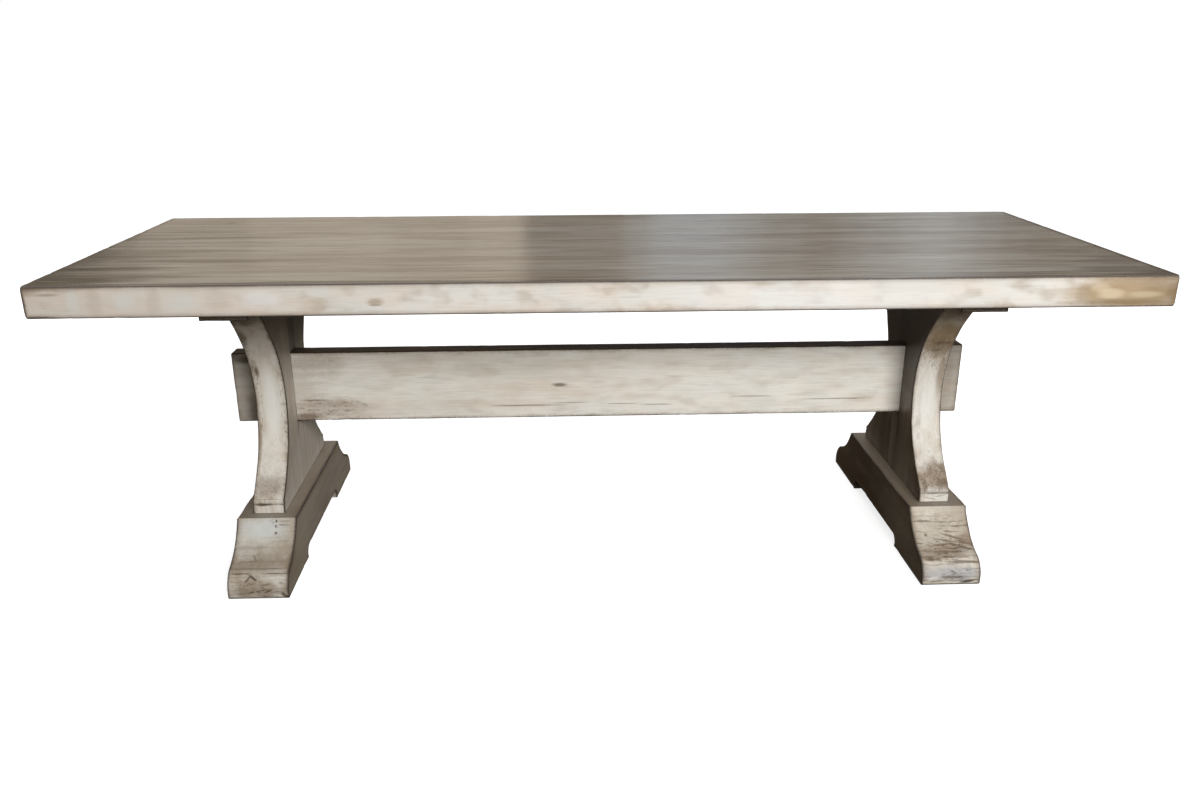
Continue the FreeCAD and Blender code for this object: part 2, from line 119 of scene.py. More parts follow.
# %% Wires
class Wire:
    """One output of a shader tree. Arithmetic on it adds Math nodes to the tree."""

    def __init__(self, tree, socket=None):
        self.tree = tree
        self.socket = socket

    def node(self, kind, settings=None, sockets=None, output=0):
        """Any node: its settings are set first, then the values or wires of its sockets."""
        made = self.tree.nodes.new(kind)
        for key, value in (settings or {}).items():
            setattr(made, key, value)
        for key, value in (sockets or {}).items():
            self.plug(made.inputs[key], value)
        return Wire(self.tree, made.outputs[output])

    def plug(self, socket, value):
        """Feeds a socket: a wire is linked to it, and a plain value is set on it."""
        if isinstance(value, Wire):
            self.tree.links.new(value.socket, socket)
        else:
            socket.default_value = value

    def math(self, operation, a, b, clamp=False):
        """One Math node, on wires or numbers."""
        return self.node("ShaderNodeMath", {"operation": operation, "use_clamp": clamp}, {0: a, 1: b})

    def __add__(self, other):
        return self.math("ADD", self, other)

    def __radd__(self, other):
        return self.math("ADD", other, self)

    def __sub__(self, other):
        return self.math("SUBTRACT", self, other)

    def __rsub__(self, other):
        return self.math("SUBTRACT", other, self)

    def __mul__(self, other):
        return self.math("MULTIPLY", self, other)

    def __rmul__(self, other):
        return self.math("MULTIPLY", other, self)

    def limited(self):
        """The same value, kept between 0 and 1."""
        return self.math("ADD", self, 0.0, clamp=True)

    def larger(self, other):
        """The larger of this value and another."""
        return self.math("MAXIMUM", self, other)

    def size(self):
        """The value without its sign."""
        return self.math("ABSOLUTE", self, 0.0)

    def rise(self, low, high):
        """0 below low, 1 above high and a soft step between; with low above high it falls."""
        ranges = {0: self, 1: low, 2: high, 3: 0.0, 4: 1.0}
        return self.node("ShaderNodeMapRange", {"interpolation_type": "SMOOTHSTEP"}, ranges)

    def times(self, vector):
        """A vector wire scaled along each axis."""
        return self.node("ShaderNodeVectorMath", {"operation": "MULTIPLY"}, {0: self, 1: vector})

    def plus(self, vector):
        """A vector wire moved by a vector."""
        return self.node("ShaderNodeVectorMath", {"operation": "ADD"}, {0: self, 1: vector})

    def length(self):
        """The length of a vector wire."""
        return self.node("ShaderNodeVectorMath", {"operation": "LENGTH"}, {0: self}, "Value")

    def noise(self, scale, detail=3.0, roughness=0.55, distortion=0.0):
        """Cloudy noise read at this vector, mostly between 0.3 and 0.7."""
        sockets = {"Vector": self, "Scale": scale, "Detail": detail,
                   "Roughness": roughness, "Distortion": distortion}
        return self.node("ShaderNodeTexNoise", {"noise_dimensions": "3D"}, sockets)

    def mix(self, factor, a, b):
        """Colour a where the factor is 0, colour b where it is 1. The factor may be a plain number."""
        return self.node("ShaderNodeMix", {"data_type": "RGBA"}, {0: factor, 6: a, 7: b}, 2)

    def blend(self, a, b):
        """Colour a where this value is 0, colour b where it is 1."""
        return self.mix(self, a, b)

    def mark(self, name):
        """A number that the mesh carries at each vertex."""
        return self.node("ShaderNodeAttribute", {"attribute_name": name}, {}, "Fac")


def paint(red, green, blue):
    """A colour chip, 0 to 255 as a paint card gives it, in the linear light that shaders use."""
    chips = [c / 255 for c in (red, green, blue)]
    return tuple(c / 12.92 if c <= 0.04045 else ((c + 0.055) / 1.055) ** 2.4 for c in chips) + (1.0,)


black = paint(0, 0, 0)
white = paint(255, 255, 255)
print("wires ready; mid grey is", [round(c, 3) for c in paint(128, 128, 128)[:3]])

# %% [markdown]
# ## Studio
#
# The finish is satin, so it needs a broad soft lamp rather than a bare bulb. The main lamp stands
# in front and to the right, not much above the table, as a window does: it lights the
# front edges fully, the top at a glancing angle, and leaves the inner side of the right trestle dark.
# Weaker lamps light both ends and the back. Their mirror images in a satin top would be
# glaring white patches, so glossy rays skip them, and dimmer cards stand in for them further on.

# %% Lamps
lamp_aim = Vector((0.0, 0.0, 0.45))


def soft_lamp(name, place, width, height, power):
    """A rectangular lamp that faces the middle of the table."""
    data = bpy.data.lights.new(name, "AREA")
    data.shape = "RECTANGLE"
    data.size = width
    data.size_y = height
    data.energy = power
    lamp = bpy.data.objects.new(name, data)
    lamp.location = place
    lamp.rotation_euler = (lamp_aim - Vector(place)).to_track_quat("-Z", "Y").to_euler()
    lamp.visible_glossy = False
    bpy.context.scene.collection.objects.link(lamp)


soft_lamp("window_lamp", (1.5, -4.4, 2.35), 3.0, 1.35, 245.0)
soft_lamp("left_end_lamp", (-4.8, 0.2, 2.3), 2.0, 1.2, 45.0)
soft_lamp("right_end_lamp", (4.8, 0.2, 2.3), 2.0, 1.2, 45.0)
soft_lamp("rear_lamp", (0.6, 4.2, 2.9), 3.0, 1.4, 110.0)

# %% [markdown]
# The background is white paper. The camera, and rays that have bounced off something shiny,
# see it at full white; the light that it throws on the table is much weaker, so that the
# shadows under the top stay deep. Light Path tells the two apart.

# %% World
world = bpy.data.worlds.new("white_room")
world.use_nodes = True
bpy.context.scene.world = world
room = Wire(world.node_tree)
ambient_light = 0.05
ambient_tint = (1.0, 0.96, 0.90, 1.0)
rays = world.node_tree.nodes.new("ShaderNodeLightPath")
seen = Wire(world.node_tree, rays.outputs["Is Camera Ray"])
seen = seen.larger(Wire(world.node_tree, rays.outputs["Is Glossy Ray"]))
seen = seen.larger(Wire(world.node_tree, rays.outputs["Is Transmission Ray"]))
backdrop = world.node_tree.nodes["Background"]
room.plug(backdrop.inputs["Color"], seen.blend(ambient_tint, white))
room.plug(backdrop.inputs["Strength"], seen * (1 - ambient_light) + ambient_light)
print("ambient light", ambient_light)

# %% [markdown]
# The floor is pale paper that keeps a faint shadow. To the camera it is mostly its own glow
# with a share of real light on top, so the shadow shows without the paper turning grey, and it
# brightens to plain white away from the table. To the table it is a dark, slightly brown floor. From
# below the camera sees through it, so that the underside of the table can be looked at.

# %% Floor
floor_reach = 40.0
floor_glow = 0.80            # what the camera still sees in full shadow
floor_white_start = 1.6      # metres from the middle of the table
floor_white_end = 3.6
floor_drop = 0.0003          # keeps the sheet clear of the bottoms of the feet
shaded_paper = paint(200, 200, 200)
dim_floor = paint(82, 73, 62)


def make_floor():
    """One square sheet at the height of the floor."""
    corners = [(-1, -1), (1, -1), (1, 1), (-1, 1)]
    mesh = bpy.data.meshes.new("floor")
    points = [(x * floor_reach, y * floor_reach, -floor_drop) for x, y in corners]
    mesh.from_pydata(points, [], [(0, 1, 2, 3)])
    floor = bpy.data.objects.new("floor", mesh)
    bpy.context.scene.collection.objects.link(floor)
    material = bpy.data.materials.new("floor_paper")
    material.use_nodes = True
    tree = material.node_tree
    sheet = Wire(tree)
    path = tree.nodes.new("ShaderNodeLightPath")
    camera_ray = Wire(tree, path.outputs["Is Camera Ray"])
    place = sheet.node("ShaderNodeTexCoord", {}, {}, "Object")
    away = place.length().rise(floor_white_start, floor_white_end)
    shader = tree.nodes["Principled BSDF"]
    shader.inputs["Roughness"].default_value = 0.9
    shader.inputs["Specular IOR Level"].default_value = 0.0
    shader.inputs["Emission Strength"].default_value = 1.0
    sheet.plug(shader.inputs["Base Color"], camera_ray.blend(dim_floor, shaded_paper))
    glow = camera_ray * (floor_glow + away * (1 - floor_glow))
    sheet.plug(shader.inputs["Emission Color"], glow.blend(black, white))
    side = tree.nodes.new("ShaderNodeNewGeometry")
    from_below = Wire(tree, side.outputs["Backfacing"]) * camera_ray
    clear = sheet.node("ShaderNodeBsdfTransparent")
    paper = Wire(tree, shader.outputs["BSDF"])
    both = sheet.node("ShaderNodeMixShader", {}, {0: from_below, 1: paper, 2: clear})
    sheet.plug(tree.nodes["Material Output"].inputs["Surface"], both)
    mesh.materials.append(material)


make_floor()
print("floor", 2 * floor_reach, "metres across")

# %% [markdown]
# A satin top seen at a glancing angle mirrors what stands behind it. In an ordinary room that is
# a dim wall with curtains and windows, and they show in the sheen as upright bands. Cards stand
# in for that wall, warm where a curtain hangs and cool where daylight comes in. Only glossy rays see
# them, so they neither light the table nor block the view.

# %% Cards that the sheen mirrors
card_distance = 4.2
card_height = 3.2
curtain_tint = (1.0, 0.88, 0.72)
glass_tint = (0.84, 0.93, 1.0)
wall_cards = [               # left edge and right edge in metres, brightness, tint
    (-9.0, -2.92, 0.21, curtain_tint),
    (-2.92, -2.70, 0.34, curtain_tint),
    (-2.70, -2.0, 0.45, curtain_tint),
    (-2.0, -1.15, 0.55, curtain_tint),
    (-1.15, -0.65, 0.49, curtain_tint),
    (-0.65, -0.30, 0.56, curtain_tint),
    (-0.30, 0.33, 0.13, (1.0, 0.97, 0.94)),
    (0.33, 0.50, 0.30, (0.85, 0.93, 1.0)),
    (0.50, 0.98, 0.50, (0.76, 0.88, 1.0)),
    (0.98, 1.10, 0.40, (0.80, 0.91, 1.0)),
    (1.10, 1.22, 0.32, glass_tint),
    (1.22, 1.45, 0.22, (0.88, 0.95, 1.0)),
    (1.45, 1.70, 0.16, (0.90, 0.95, 1.0)),
    (1.70, 1.85, 0.25, (0.86, 0.94, 1.0)),
    (1.85, 2.07, 0.36, glass_tint),
    (2.07, 2.20, 0.46, glass_tint),
    (2.20, 2.42, 0.54, glass_tint),
    (2.42, 2.57, 0.42, glass_tint),
    (2.57, 2.74, 0.30, glass_tint),
    (2.74, 2.92, 0.17, (0.86, 0.95, 1.0)),
    (2.92, 9.0, 0.09, (0.86, 0.95, 1.0)),
]


def make_card(name, corners, brightness, tint):
    """An upright glowing card that only glossy rays meet."""
    mesh = bpy.data.meshes.new(name)
    mesh.from_pydata(corners, [], [(0, 1, 2, 3)])
    card = bpy.data.objects.new(name, mesh)
    bpy.context.scene.collection.objects.link(card)
    material = bpy.data.materials.new(name)
    material.use_nodes = True
    shader = material.node_tree.nodes["Principled BSDF"]
    shader.inputs["Base Color"].default_value = black
    shader.inputs["Specular IOR Level"].default_value = 0.0
    shader.inputs["Emission Color"].default_value = tint + (1.0,)
    shader.inputs["Emission Strength"].default_value = brightness
    mesh.materials.append(material)
    card.visible_camera = False
    card.visible_diffuse = False
    card.visible_shadow = False
    card.visible_transmission = False


def upright(start, end):
    """Corners of a card that stands on the floor between two points."""
    return [(*start, 0.0), (*end, 0.0), (*end, card_height), (*start, card_height)]


for number, (left, right, brightness, tint) in enumerate(wall_cards):
    corners = upright((left, card_distance), (right, card_distance))
    make_card(f"wall_card_{number}", corners, brightness, tint)
room_half = wall_cards[-1][1]
side_brightness = 0.2
side_tint = (1.0, 0.97, 0.93)
window_brightness = 1.0
window_tint = (0.92, 0.96, 1.0)
for name, start, end in (
    ("left_card", (-room_half, -room_half), (-room_half, card_distance)),
    ("right_card", (room_half, card_distance), (room_half, -room_half)),
    ("front_card", (room_half, -room_half), (-room_half, -room_half)),
):
    make_card(name, upright(start, end), side_brightness, side_tint)
window_corners = [(0.1, -4.5, 1.6), (2.9, -4.3, 1.6), (2.9, -4.3, 3.0), (0.1, -4.5, 3.0)]
make_card("window_card", window_corners, window_brightness, window_tint)

# %% [markdown]
# ## Shapes as arrays
#
# Every board is a stack of rings. A ring is a closed loop of points round the board, and the stack
# runs from one end to the other. Because the loops all have the same number of points, the
# whole board is one array, and its sides, arrises and hollows are sums on that array.
# Steps crowd towards the corners, where the shading turns, and spread out on the flats.

# %% Steps, arcs and curves
def crowded(count):
    """Numbers from 0 to 1 that crowd towards both ends: half of one minus a cosine."""
    return (1 - np.cos(np.linspace(0.0, np.pi, count))) / 2


def straight(start, end, count):
    """Points on a line, crowded towards its ends."""
    return np.array(start) + crowded(count)[:, None] * (np.array(end) - np.array(start))


def bowed(start, end, bow, count):
    """An arc whose middle stands off its chord by bow, to the left of the way.
    Half the turn is twice the arctangent of bow over half the chord; the radius follows from it."""
    start, end = np.array(start), np.array(end)
    chord = np.linalg.norm(end - start)
    along = (end - start) / chord
    left = np.array((-along[1], along[0]))
    half_turn = 2 * math.atan(2 * bow / chord)
    radius = chord / 2 / math.sin(half_turn)
    turn = (2 * crowded(count)[:, None] - 1) * half_turn
    raised = bow - radius * (1 - np.cos(turn))
    return (start + end) / 2 + along * radius * np.sin(turn) + left * raised


def pulled(poles, count):
    """A cubic curve with two end points and two handles: the four binomial weights times them."""
    t = crowded(count)[:, None]
    weights = ((1 - t) ** 3, 3 * t * (1 - t) ** 2, 3 * t ** 2 * (1 - t), t ** 3)
    return sum(weight * np.array(pole) for weight, pole in zip(weights, poles))


def chain(*pieces):
    """Joins runs of points end to end, without the doubled point at each joint."""
    return np.concatenate([pieces[0]] + [piece[1:] for piece in pieces[1:]])


print("five crowded steps:", np.round(crowded(6), 3))

# %% [markdown]
# Old boards are never quite flat. A few sine waves with random directions, added up, give a
# smooth and repeatable unevenness that needs no lookup table. The surface is then moved inwards
# along its own normal by that amount, so a board never grows past its real size.

# %% Unevenness
wave_count = 9
wave_depth = 0.0003          # metres by which the broad waves sink a surface
nick_depth = 0.0012


def ripple(points, wavelength, seed):
    """Between about -1 and 1: sine waves in random directions, over the root of their number."""
    dice = np.random.default_rng(seed)
    directions = dice.normal(size=(wave_count, 3))
    directions /= np.linalg.norm(directions, axis=1)[:, None]
    phases = dice.uniform(0, 2 * np.pi, wave_count)
    turns = points / wavelength @ directions.T * 2 * np.pi * dice.uniform(0.7, 1.4, wave_count)
    return np.sin(turns + phases).sum(-1) / math.sqrt(wave_count) / 1.2


def outward(rings):
    """Unit normals, from the cross product of the two steps across the array.
    Their sign comes from the flux of position, which is positive through an outward surface."""
    along = np.gradient(rings, axis=0)
    around = np.roll(rings, -1, axis=1) - np.roll(rings, 1, axis=1)
    normal = np.cross(along, around)
    flux = (rings * normal).sum()
    length = np.linalg.norm(normal, axis=-1, keepdims=True)
    return normal / np.maximum(length, 1e-12) * np.sign(flux), flux > 0


def weathered(rings, rub, seed):
    """Moves the surface inwards: broad shallow waves, and small nicks along the arrises."""
    normal, _ = outward(rings)
    waves = wave_depth * (0.5 + 0.5 * np.clip(ripple(rings, 0.22, seed), -1, 1))
    bite = np.clip(ripple(rings, 0.05, seed + 1) - 0.5, 0, 1)
    nicks = nick_depth * bite * np.exp(-(rub / 0.004) ** 2)
    return rings - normal * (waves + nicks)[..., None]


def skin(name, rings, marks, material, slot, *nodes):
    """Closes a stack of rings into one mesh: four-sided faces between the rings, and a fan of
    triangles to the middle of each end ring. Marks become numbers that the vertices carry."""
    count, around = rings.shape[:2]
    points = np.concatenate([rings.reshape(-1, 3), [rings[0].mean(0)], [rings[-1].mean(0)]])
    row, column = np.meshgrid(np.arange(count - 1), np.arange(around), indexing="ij")
    after = (column + 1) % around
    quads = np.stack([row * around + column, (row + 1) * around + column,
                      (row + 1) * around + after, row * around + after], -1).reshape(-1, 4)
    loop = np.arange(around)
    last = (count - 1) * around
    first_fan = np.stack([loop, np.roll(loop, -1), np.full(around, count * around)], -1)
    last_fan = np.stack([last + np.roll(loop, -1), last + loop, np.full(around, count * around + 1)], -1)
    fans = np.concatenate([first_fan, last_fan])
    if not outward(rings)[1]:
        quads = quads[:, ::-1]
        fans = fans[:, ::-1]
    mesh = bpy.data.meshes.new(name)
    mesh.from_pydata(points.tolist(), [], quads.tolist() + fans.tolist())
    mesh.polygons.foreach_set("use_smooth", np.ones(len(mesh.polygons), bool))
    for key, values in marks.items():
        numbers = np.concatenate([values.ravel(), [values[0].mean()], [values[-1].mean()]])
        carried = mesh.attributes.new(key, "FLOAT", "POINT")
        carried.data.foreach_set("value", numbers.astype(np.float32))
    mesh.materials.append(material)
    piece = bpy.data.objects.new(name, mesh)
    bpy.context.scene.collection.objects.link(piece)
    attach(piece, "root")
    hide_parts(*nodes)
    print(f"{name:24s} {len(points):6d} points, replaces {', '.join(nodes)}")
    return piece


print("boards sink by", wave_depth * 1000, "mm at most, and by", nick_depth * 1000, "mm more at a nick")

# %% [markdown]
# ## Straight boards
#
# Planks, stretcher, cleats and core blocks are all long boxes with rounded arrises. Their section
# is a rectangle with four rounded corners. Near each end the sides draw in along a quarter circle,
# and then the ring shrinks over the end face to its middle. Two numbers are kept at each vertex:
# `rub`, the distance to the nearest arris that hands and cloths reach, and `seam`, the distance to
# the nearest joint with a neighbour. The finish reads them.

# %% Board
plain_side = 9.0             # metres, given where a side has no arris or joint near it
least_radius = 0.0001        # an arris keeps this much, so that no two of its points meet
board_pitch = 0.012          # metres between rings, and between points round them
arris_steps = 5              # points round the quarter circle of an arris
end_face_shares = np.array([0.08, 0.3, 0.55, 0.76, 0.9, 0.97])


def drawn_in(from_end, radius):
    """How far a side has drawn in at a distance from the end: radius minus the circle's height."""
    short = np.clip(radius - from_end, 0.0, radius)
    return radius - np.sqrt(radius ** 2 - short ** 2)


def section(p0, p1, q0, q1, radius, counts):
    """A rounded rectangle: quarter circles at four corners and crowded steps between them."""
    corners = []
    centres = ((p0, q0, 1, 1, 180), (p1, q0, -1, 1, 270), (p1, q1, -1, -1, 0), (p0, q1, 1, -1, 90))
    for (p, q, inward_p, inward_q, start), r in zip(centres, radius):
        turn = np.radians(np.linspace(start, start + 90, arris_steps))
        across, up = p + r * (inward_p + np.cos(turn)), q + r * (inward_q + np.sin(turn))
        corners.append(np.stack([across, up], -1))
    parts = []
    for number, corner in enumerate(corners):
        following = corners[(number + 1) % 4]
        share = crowded(counts[number % 2] + 2)[1:-1][:, None]
        parts += [corner, corner[:, -1:] * (1 - share) + following[:, :1] * share]
    return np.concatenate(parts, axis=1)


def board(node, axes, side_radii, arris_radii, exposed, seed, ball_radii=(0.0, 0.0, 0.0, 0.0)):
    """Rings of a board that fills a CAD node's box. Axes are its length, width and height.
    Side radii are for the four sides at each end, arris radii for the four long arrises,
    and exposed tells which sides are open to the hand: low and high width, low and high height.
    Ball radii round the ends of the long arrises as a sander does: radius times one minus the
    distance from the end over one and a quarter radii, squared."""
    low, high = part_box(node)
    (l0, l1), (p0, p1), (q0, q1) = [(low[a], high[a]) for a in axes]
    zone = max(side_radii)
    near = zone * np.linspace(0, 1, 8) ** 2
    middle = np.linspace(l0 + zone, l1 - zone, max(8, int((l1 - l0) / board_pitch)))[1:-1]
    stations = np.concatenate([l0 + near, middle, (l1 - near)[::-1]])
    from_end = np.minimum(stations - l0, l1 - stations)[:, None]
    inset = [drawn_in(from_end, r) for r in side_radii]
    corner_sides = ((0, 2), (1, 2), (1, 3), (0, 3))
    radius = [np.maximum(r - np.maximum(inset[a], inset[b]), least_radius)
              for r, (a, b) in zip(arris_radii, corner_sides)]
    for number, ball in enumerate(ball_radii):
        if ball:
            rounding = ball * np.clip(1 - from_end / ball / 1.25, 0, 1) ** 2
            radius[number] = np.maximum(radius[number], rounding)
    counts = [max(4, int((p1 - p0) / board_pitch)), max(4, int((q1 - q0) / board_pitch))]
    flat = section(p0 + inset[0], p1 - inset[1], q0 + inset[2], q1 - inset[3], radius, counts)
    middle_point = np.array(((p0 + p1) / 2, (q0 + q1) / 2))
    shares = end_face_shares[:, None, None]
    first_cap = middle_point + (flat[:1] - middle_point) * shares
    last_cap = middle_point + (flat[-1:] - middle_point) * shares[::-1]
    flat = np.concatenate([first_cap, flat, last_cap])
    ends = len(end_face_shares)
    stations = np.concatenate([np.full(ends, l0), stations, np.full(ends, l1)])
    rings = np.empty(flat.shape[:2] + (3,))
    rings[..., axes[0]] = stations[:, None]
    rings[..., axes[1]] = flat[..., 0]
    rings[..., axes[2]] = flat[..., 1]
    sides = [flat[..., 0] - p0, p1 - flat[..., 0], flat[..., 1] - q0, q1 - flat[..., 1]]
    gaps = [np.minimum(stations - l0, l1 - stations)[:, None] * np.ones(flat.shape[:2])]
    gaps += [gap if is_open else gap * 0 + plain_side for gap, is_open in zip(sides, exposed)]
    rub = np.sort(np.stack(gaps, -1), axis=-1)[..., 1]
    closed = [gap for gap, is_open in zip(sides, exposed) if not is_open]
    seam = np.min(closed, axis=0) if closed else np.full(rub.shape, plain_side)
    return weathered(rings, rub, seed), {"rub": rub, "seam": seam}


print("end face rings at", end_face_shares, "of the way out")

# %% [markdown]
# ## The finish
#
# The wood was washed with thin white paint, wiped along the grain, then glazed brown. The glaze
# was wiped off again and stays in pores, cracks and joints, and the arrises were rubbed back to
# the wood. So the colour is built in the same order: wood, white wash, glaze, rubbed arrises, dirt.
# All patterns are noise in the piece's own space, stretched along its grain.

# %% Paint chips
# Each pair is the wash where it lies thin and where it lies thick.
edge_chips = paint(207, 197, 181), paint(236, 232, 225)
beam_chips = paint(219, 210, 195), paint(242, 239, 230)
post_chips = paint(200, 189, 172), paint(232, 228, 219)
left_foot_chips = paint(178, 168, 152), paint(214, 209, 198)
right_foot_chips = paint(184, 174, 158), paint(215, 207, 194)
deck_chips = paint(157, 142, 122), paint(187, 177, 162)
brown_glaze = paint(126, 102, 76)
umber_glaze = paint(92, 76, 58)
dark_glaze = paint(54, 42, 32)
charcoal = paint(62, 58, 56)
tan_knot = paint(166, 146, 122)
grey_knot = paint(128, 114, 98)
pale_paint_and_highlight = paint(238, 235, 228)
milk = paint(214, 217, 214)
slate = paint(172, 171, 171)
golden = paint(171, 147, 113)
cream = paint(222, 206, 178)
olive = paint(138, 120, 90)
rosy = paint(226, 212, 198)
silvery = paint(220, 219, 213)
bright = paint(238, 238, 236)
ring_width = 0.006           # metres of growth in a year
grain_stretch = {            # the axis that the grain follows, and how patterns are stretched for it
    0: (0.06, 1.0, 1.0),
    1: (1.0, 0.06, 1.0),
    2: (1.0, 1.0, 0.06),
}
print("glazes", [tuple(round(c, 3) for c in glaze[:3]) for glaze in (brown_glaze, umber_glaze, dark_glaze)])

# %% [markdown]
# Every coat of the finish reads the same few patterns: long streaks and fine fibre that follow the
# grain, soft marks of a wiping cloth, broad clouds, and specks that have no direction. They are laid
# once for each piece and kept together. A random shift, drawn for each piece, makes all boards differ.
# The upper face of the top is told from its edges by its height.

# %% Patterns of the wood
deck_top = cad_high[2]
deck_begins = deck_top - 0.0030    # height at which the upper face's browner wash starts
deck_full = deck_top - 0.0012      # height from which it covers fully
shift_reach = 20             # metres by which a piece's patterns may be moved each way


def at_least(stretch, least):
    """A stretch whose patterns run no longer than one over least times their width."""
    return tuple(max(share, least) for share in stretch)


class Wood:
    """The patterns that all coats of one piece read, each of them a wire."""

    def __init__(self, tree, grain, seed, deck):
        self.sheet = Wire(tree)
        self.place = self.sheet.node("ShaderNodeTexCoord", {}, {}, "Object")
        self.dice = np.random.default_rng(seed)
        self.stretch = grain_stretch[grain]
        self.deck = deck
        self.shifted = self.place.plus(self.shift())
        self.along = self.shifted.times(self.stretch)
        self.loosely = self.shifted.times(at_least(self.stretch, 0.14 if deck else 0.32))
        self.streak = self.along.noise(36.0, 4.0, 0.6, 0.2)
        self.fibre = self.along.noise(220.0, 2.0, 0.6)
        self.cloud = self.loosely.noise(7.0, 4.0, 0.6)
        self.wipe = self.loosely.noise(24.0, 4.0, 0.6, 0.3)
        self.speck = self.shifted.noise(150.0, 3.0, 0.65)
        self.upper = self.along_axis("Z").rise(deck_begins, deck_full) if deck else 0.0

    def shift(self):
        """The next random shift of this piece."""
        return tuple(self.dice.uniform(-shift_reach, shift_reach, 3))

    def along_axis(self, axis):
        """The place along one axis, as a number."""
        return self.sheet.node("ShaderNodeSeparateXYZ", {}, {0: self.place}, axis)

    def distance_from(self, centre, reach, tilt=0.0):
        """The distance from a centre, counted in reaches along each axis, so 1 lies on an ellipsoid.
        The tilt, in degrees, turns it about Y."""
        sockets = {"Vector": self.place, "Location": centre, "Scale": reach,
                   "Rotation": (0.0, math.radians(tilt), 0.0)}
        return self.sheet.node("ShaderNodeMapping", {"vector_type": "TEXTURE"}, sockets).length()


print("patterns run up to", round(1 / min(grain_stretch[0])), "times as long as wide")

# %% [markdown]
# First comes the white wash. Where the cloth pressed it is thin and the wood shows through, elsewhere
# it covers. A wiped wash is never one white: it leans to rose or silver in soft patches.
# The upper face of the top was washed in browner paint.

# %% White wash
def white_wash(wood, chips, cover, tinted):
    """How far the paint covers, and its colour: the thin chip, the thick chip and the soft tints."""
    covered = wood.cloud * 0.4 + wood.wipe * 0.3 + wood.streak * 0.3 + (cover - 0.5) * 0.25
    covered = covered.rise(0.40, 0.60)
    if wood.deck:
        chips = [wood.upper.blend(side, above) for side, above in zip(chips, deck_chips)]
    colour = covered.blend(*chips)
    if tinted:
        cloth = wood.shifted.times(at_least(wood.stretch, 0.6 if wood.deck else 0.4))
        patch = cloth.noise(18.0, 1.5, 0.5).rise(0.36, 0.62)
        smudge = cloth.plus((3.0, 0.0, 0.0)).noise(27.0, 2.0, 0.5).rise(0.48, 0.76)
        sides = (1 - wood.upper) * tinted
        colour = wood.sheet.mix(sides, colour, patch.blend(rosy, silvery))
        colour = (smudge * sides).blend(colour, tan_knot)
    return covered, colour


print("the deck is washed in", len(deck_chips), "chips of its own")

# %% [markdown]
# Then comes the brown glaze, which stays in the fibres and streaks. The upper face holds it in broad
# bands and fine veins, and along its rim, where the cloth doesn't press.

# %% Brown glaze
rim_width = 0.024            # metres over which the rim of the upper face is darker


def brown_coat(wood, colour, glaze):
    """Glaze in bands, veins, fibres and streaks. More glaze lowers the level above which it stays."""
    if wood.deck:
        band = wood.loosely.noise(12.0, 2.5, 0.55).rise(0.45, 0.64)
        vein = wood.along.noise(95.0, 3.0, 0.7)
        colour = (wood.upper * band * 0.5).blend(colour, brown_glaze)
        colour = (wood.upper * vein.rise(0.51, 0.66) * 0.40).blend(colour, umber_glaze)
        colour = (wood.upper * vein.rise(0.48, 0.34) * 0.40).blend(colour, deck_chips[1])
    colour = (wood.fibre.rise(0.45, 0.75) * 0.14).blend(colour, brown_glaze)
    held = (wood.streak * 0.6 + wood.wipe * 0.4 + (glaze - 0.5) * 0.2).rise(0.53, 0.68)
    colour = (held * ((1 - wood.upper * 0.7) * 0.35)).blend(colour, brown_glaze)
    if wood.deck:
        rim = (wood.sheet.mark("rub") + (wood.wipe - 0.5) * 0.02).rise(rim_width, rim_width / 4)
        colour = (wood.upper * rim * 0.7).blend(colour, umber_glaze)
    return colour


print("the rim of the upper face is darker over", rim_width * 1000, "mm")

# %% [markdown]
# The curved cut of a foot's toe lays the growth rings open as wavering lines. A wave texture across
# the height draws them, bent by its own noise and broken up by another.

# %% Figure
figure_stretch = (0.22, 1.0, 1.0)
figure_wave = {"Scale": 34.0, "Distortion": 6.0, "Detail": 3.0, "Detail Scale": 1.2,
               "Detail Roughness": 0.6}
figure_start = 0.28          # metres from the middle of the table
figure_full = 0.33


def figured(wood, colour, strength):
    """Dark ring lines towards the front and the rear end of a foot."""
    width = wood.place.times(figure_stretch).plus(wood.shift())
    settings = {"wave_type": "BANDS", "bands_direction": "Z"}
    line = wood.sheet.node("ShaderNodeTexWave", settings, figure_wave | {"Vector": width}, 1)
    broken = width.noise(60.0, 3.0, 0.6).rise(0.40, 0.54)
    depth = wood.along_axis("Y").size().rise(figure_start, figure_full)
    return (line.rise(0.60, 0.97) * broken * depth * strength).blend(colour, umber_glaze)


print("ring lines start", figure_start, "m from the middle")

# %% [markdown]
# Old paint has marks that are nobody's pattern: a knot, a scuff, a streak of glaze. Each is a soft
# spot with a place and a reach, and noise tears its rim. On the upper face the tear follows the grain.
# Flecks are the same, with many dark dots in place of one colour.

# %% Stains and flecks
def stained(wood, colour, stains, ragged):
    """A stain is a place, a reach, a strength, a chip and sometimes a tilt."""
    torn = (wood.speck - 0.5) * 0.5 * ragged + (wood.wipe - 0.5) * 1.2
    torn = torn + (wood.streak - 0.5) * (wood.upper * 1.6 + 0.8)
    for centre, reach, strength, chip, *tilt in stains:
        spot = (wood.distance_from(centre, reach, *tilt) + torn).rise(1.2, 0.3)
        colour = (spot * strength).blend(colour, chip)
    return colour


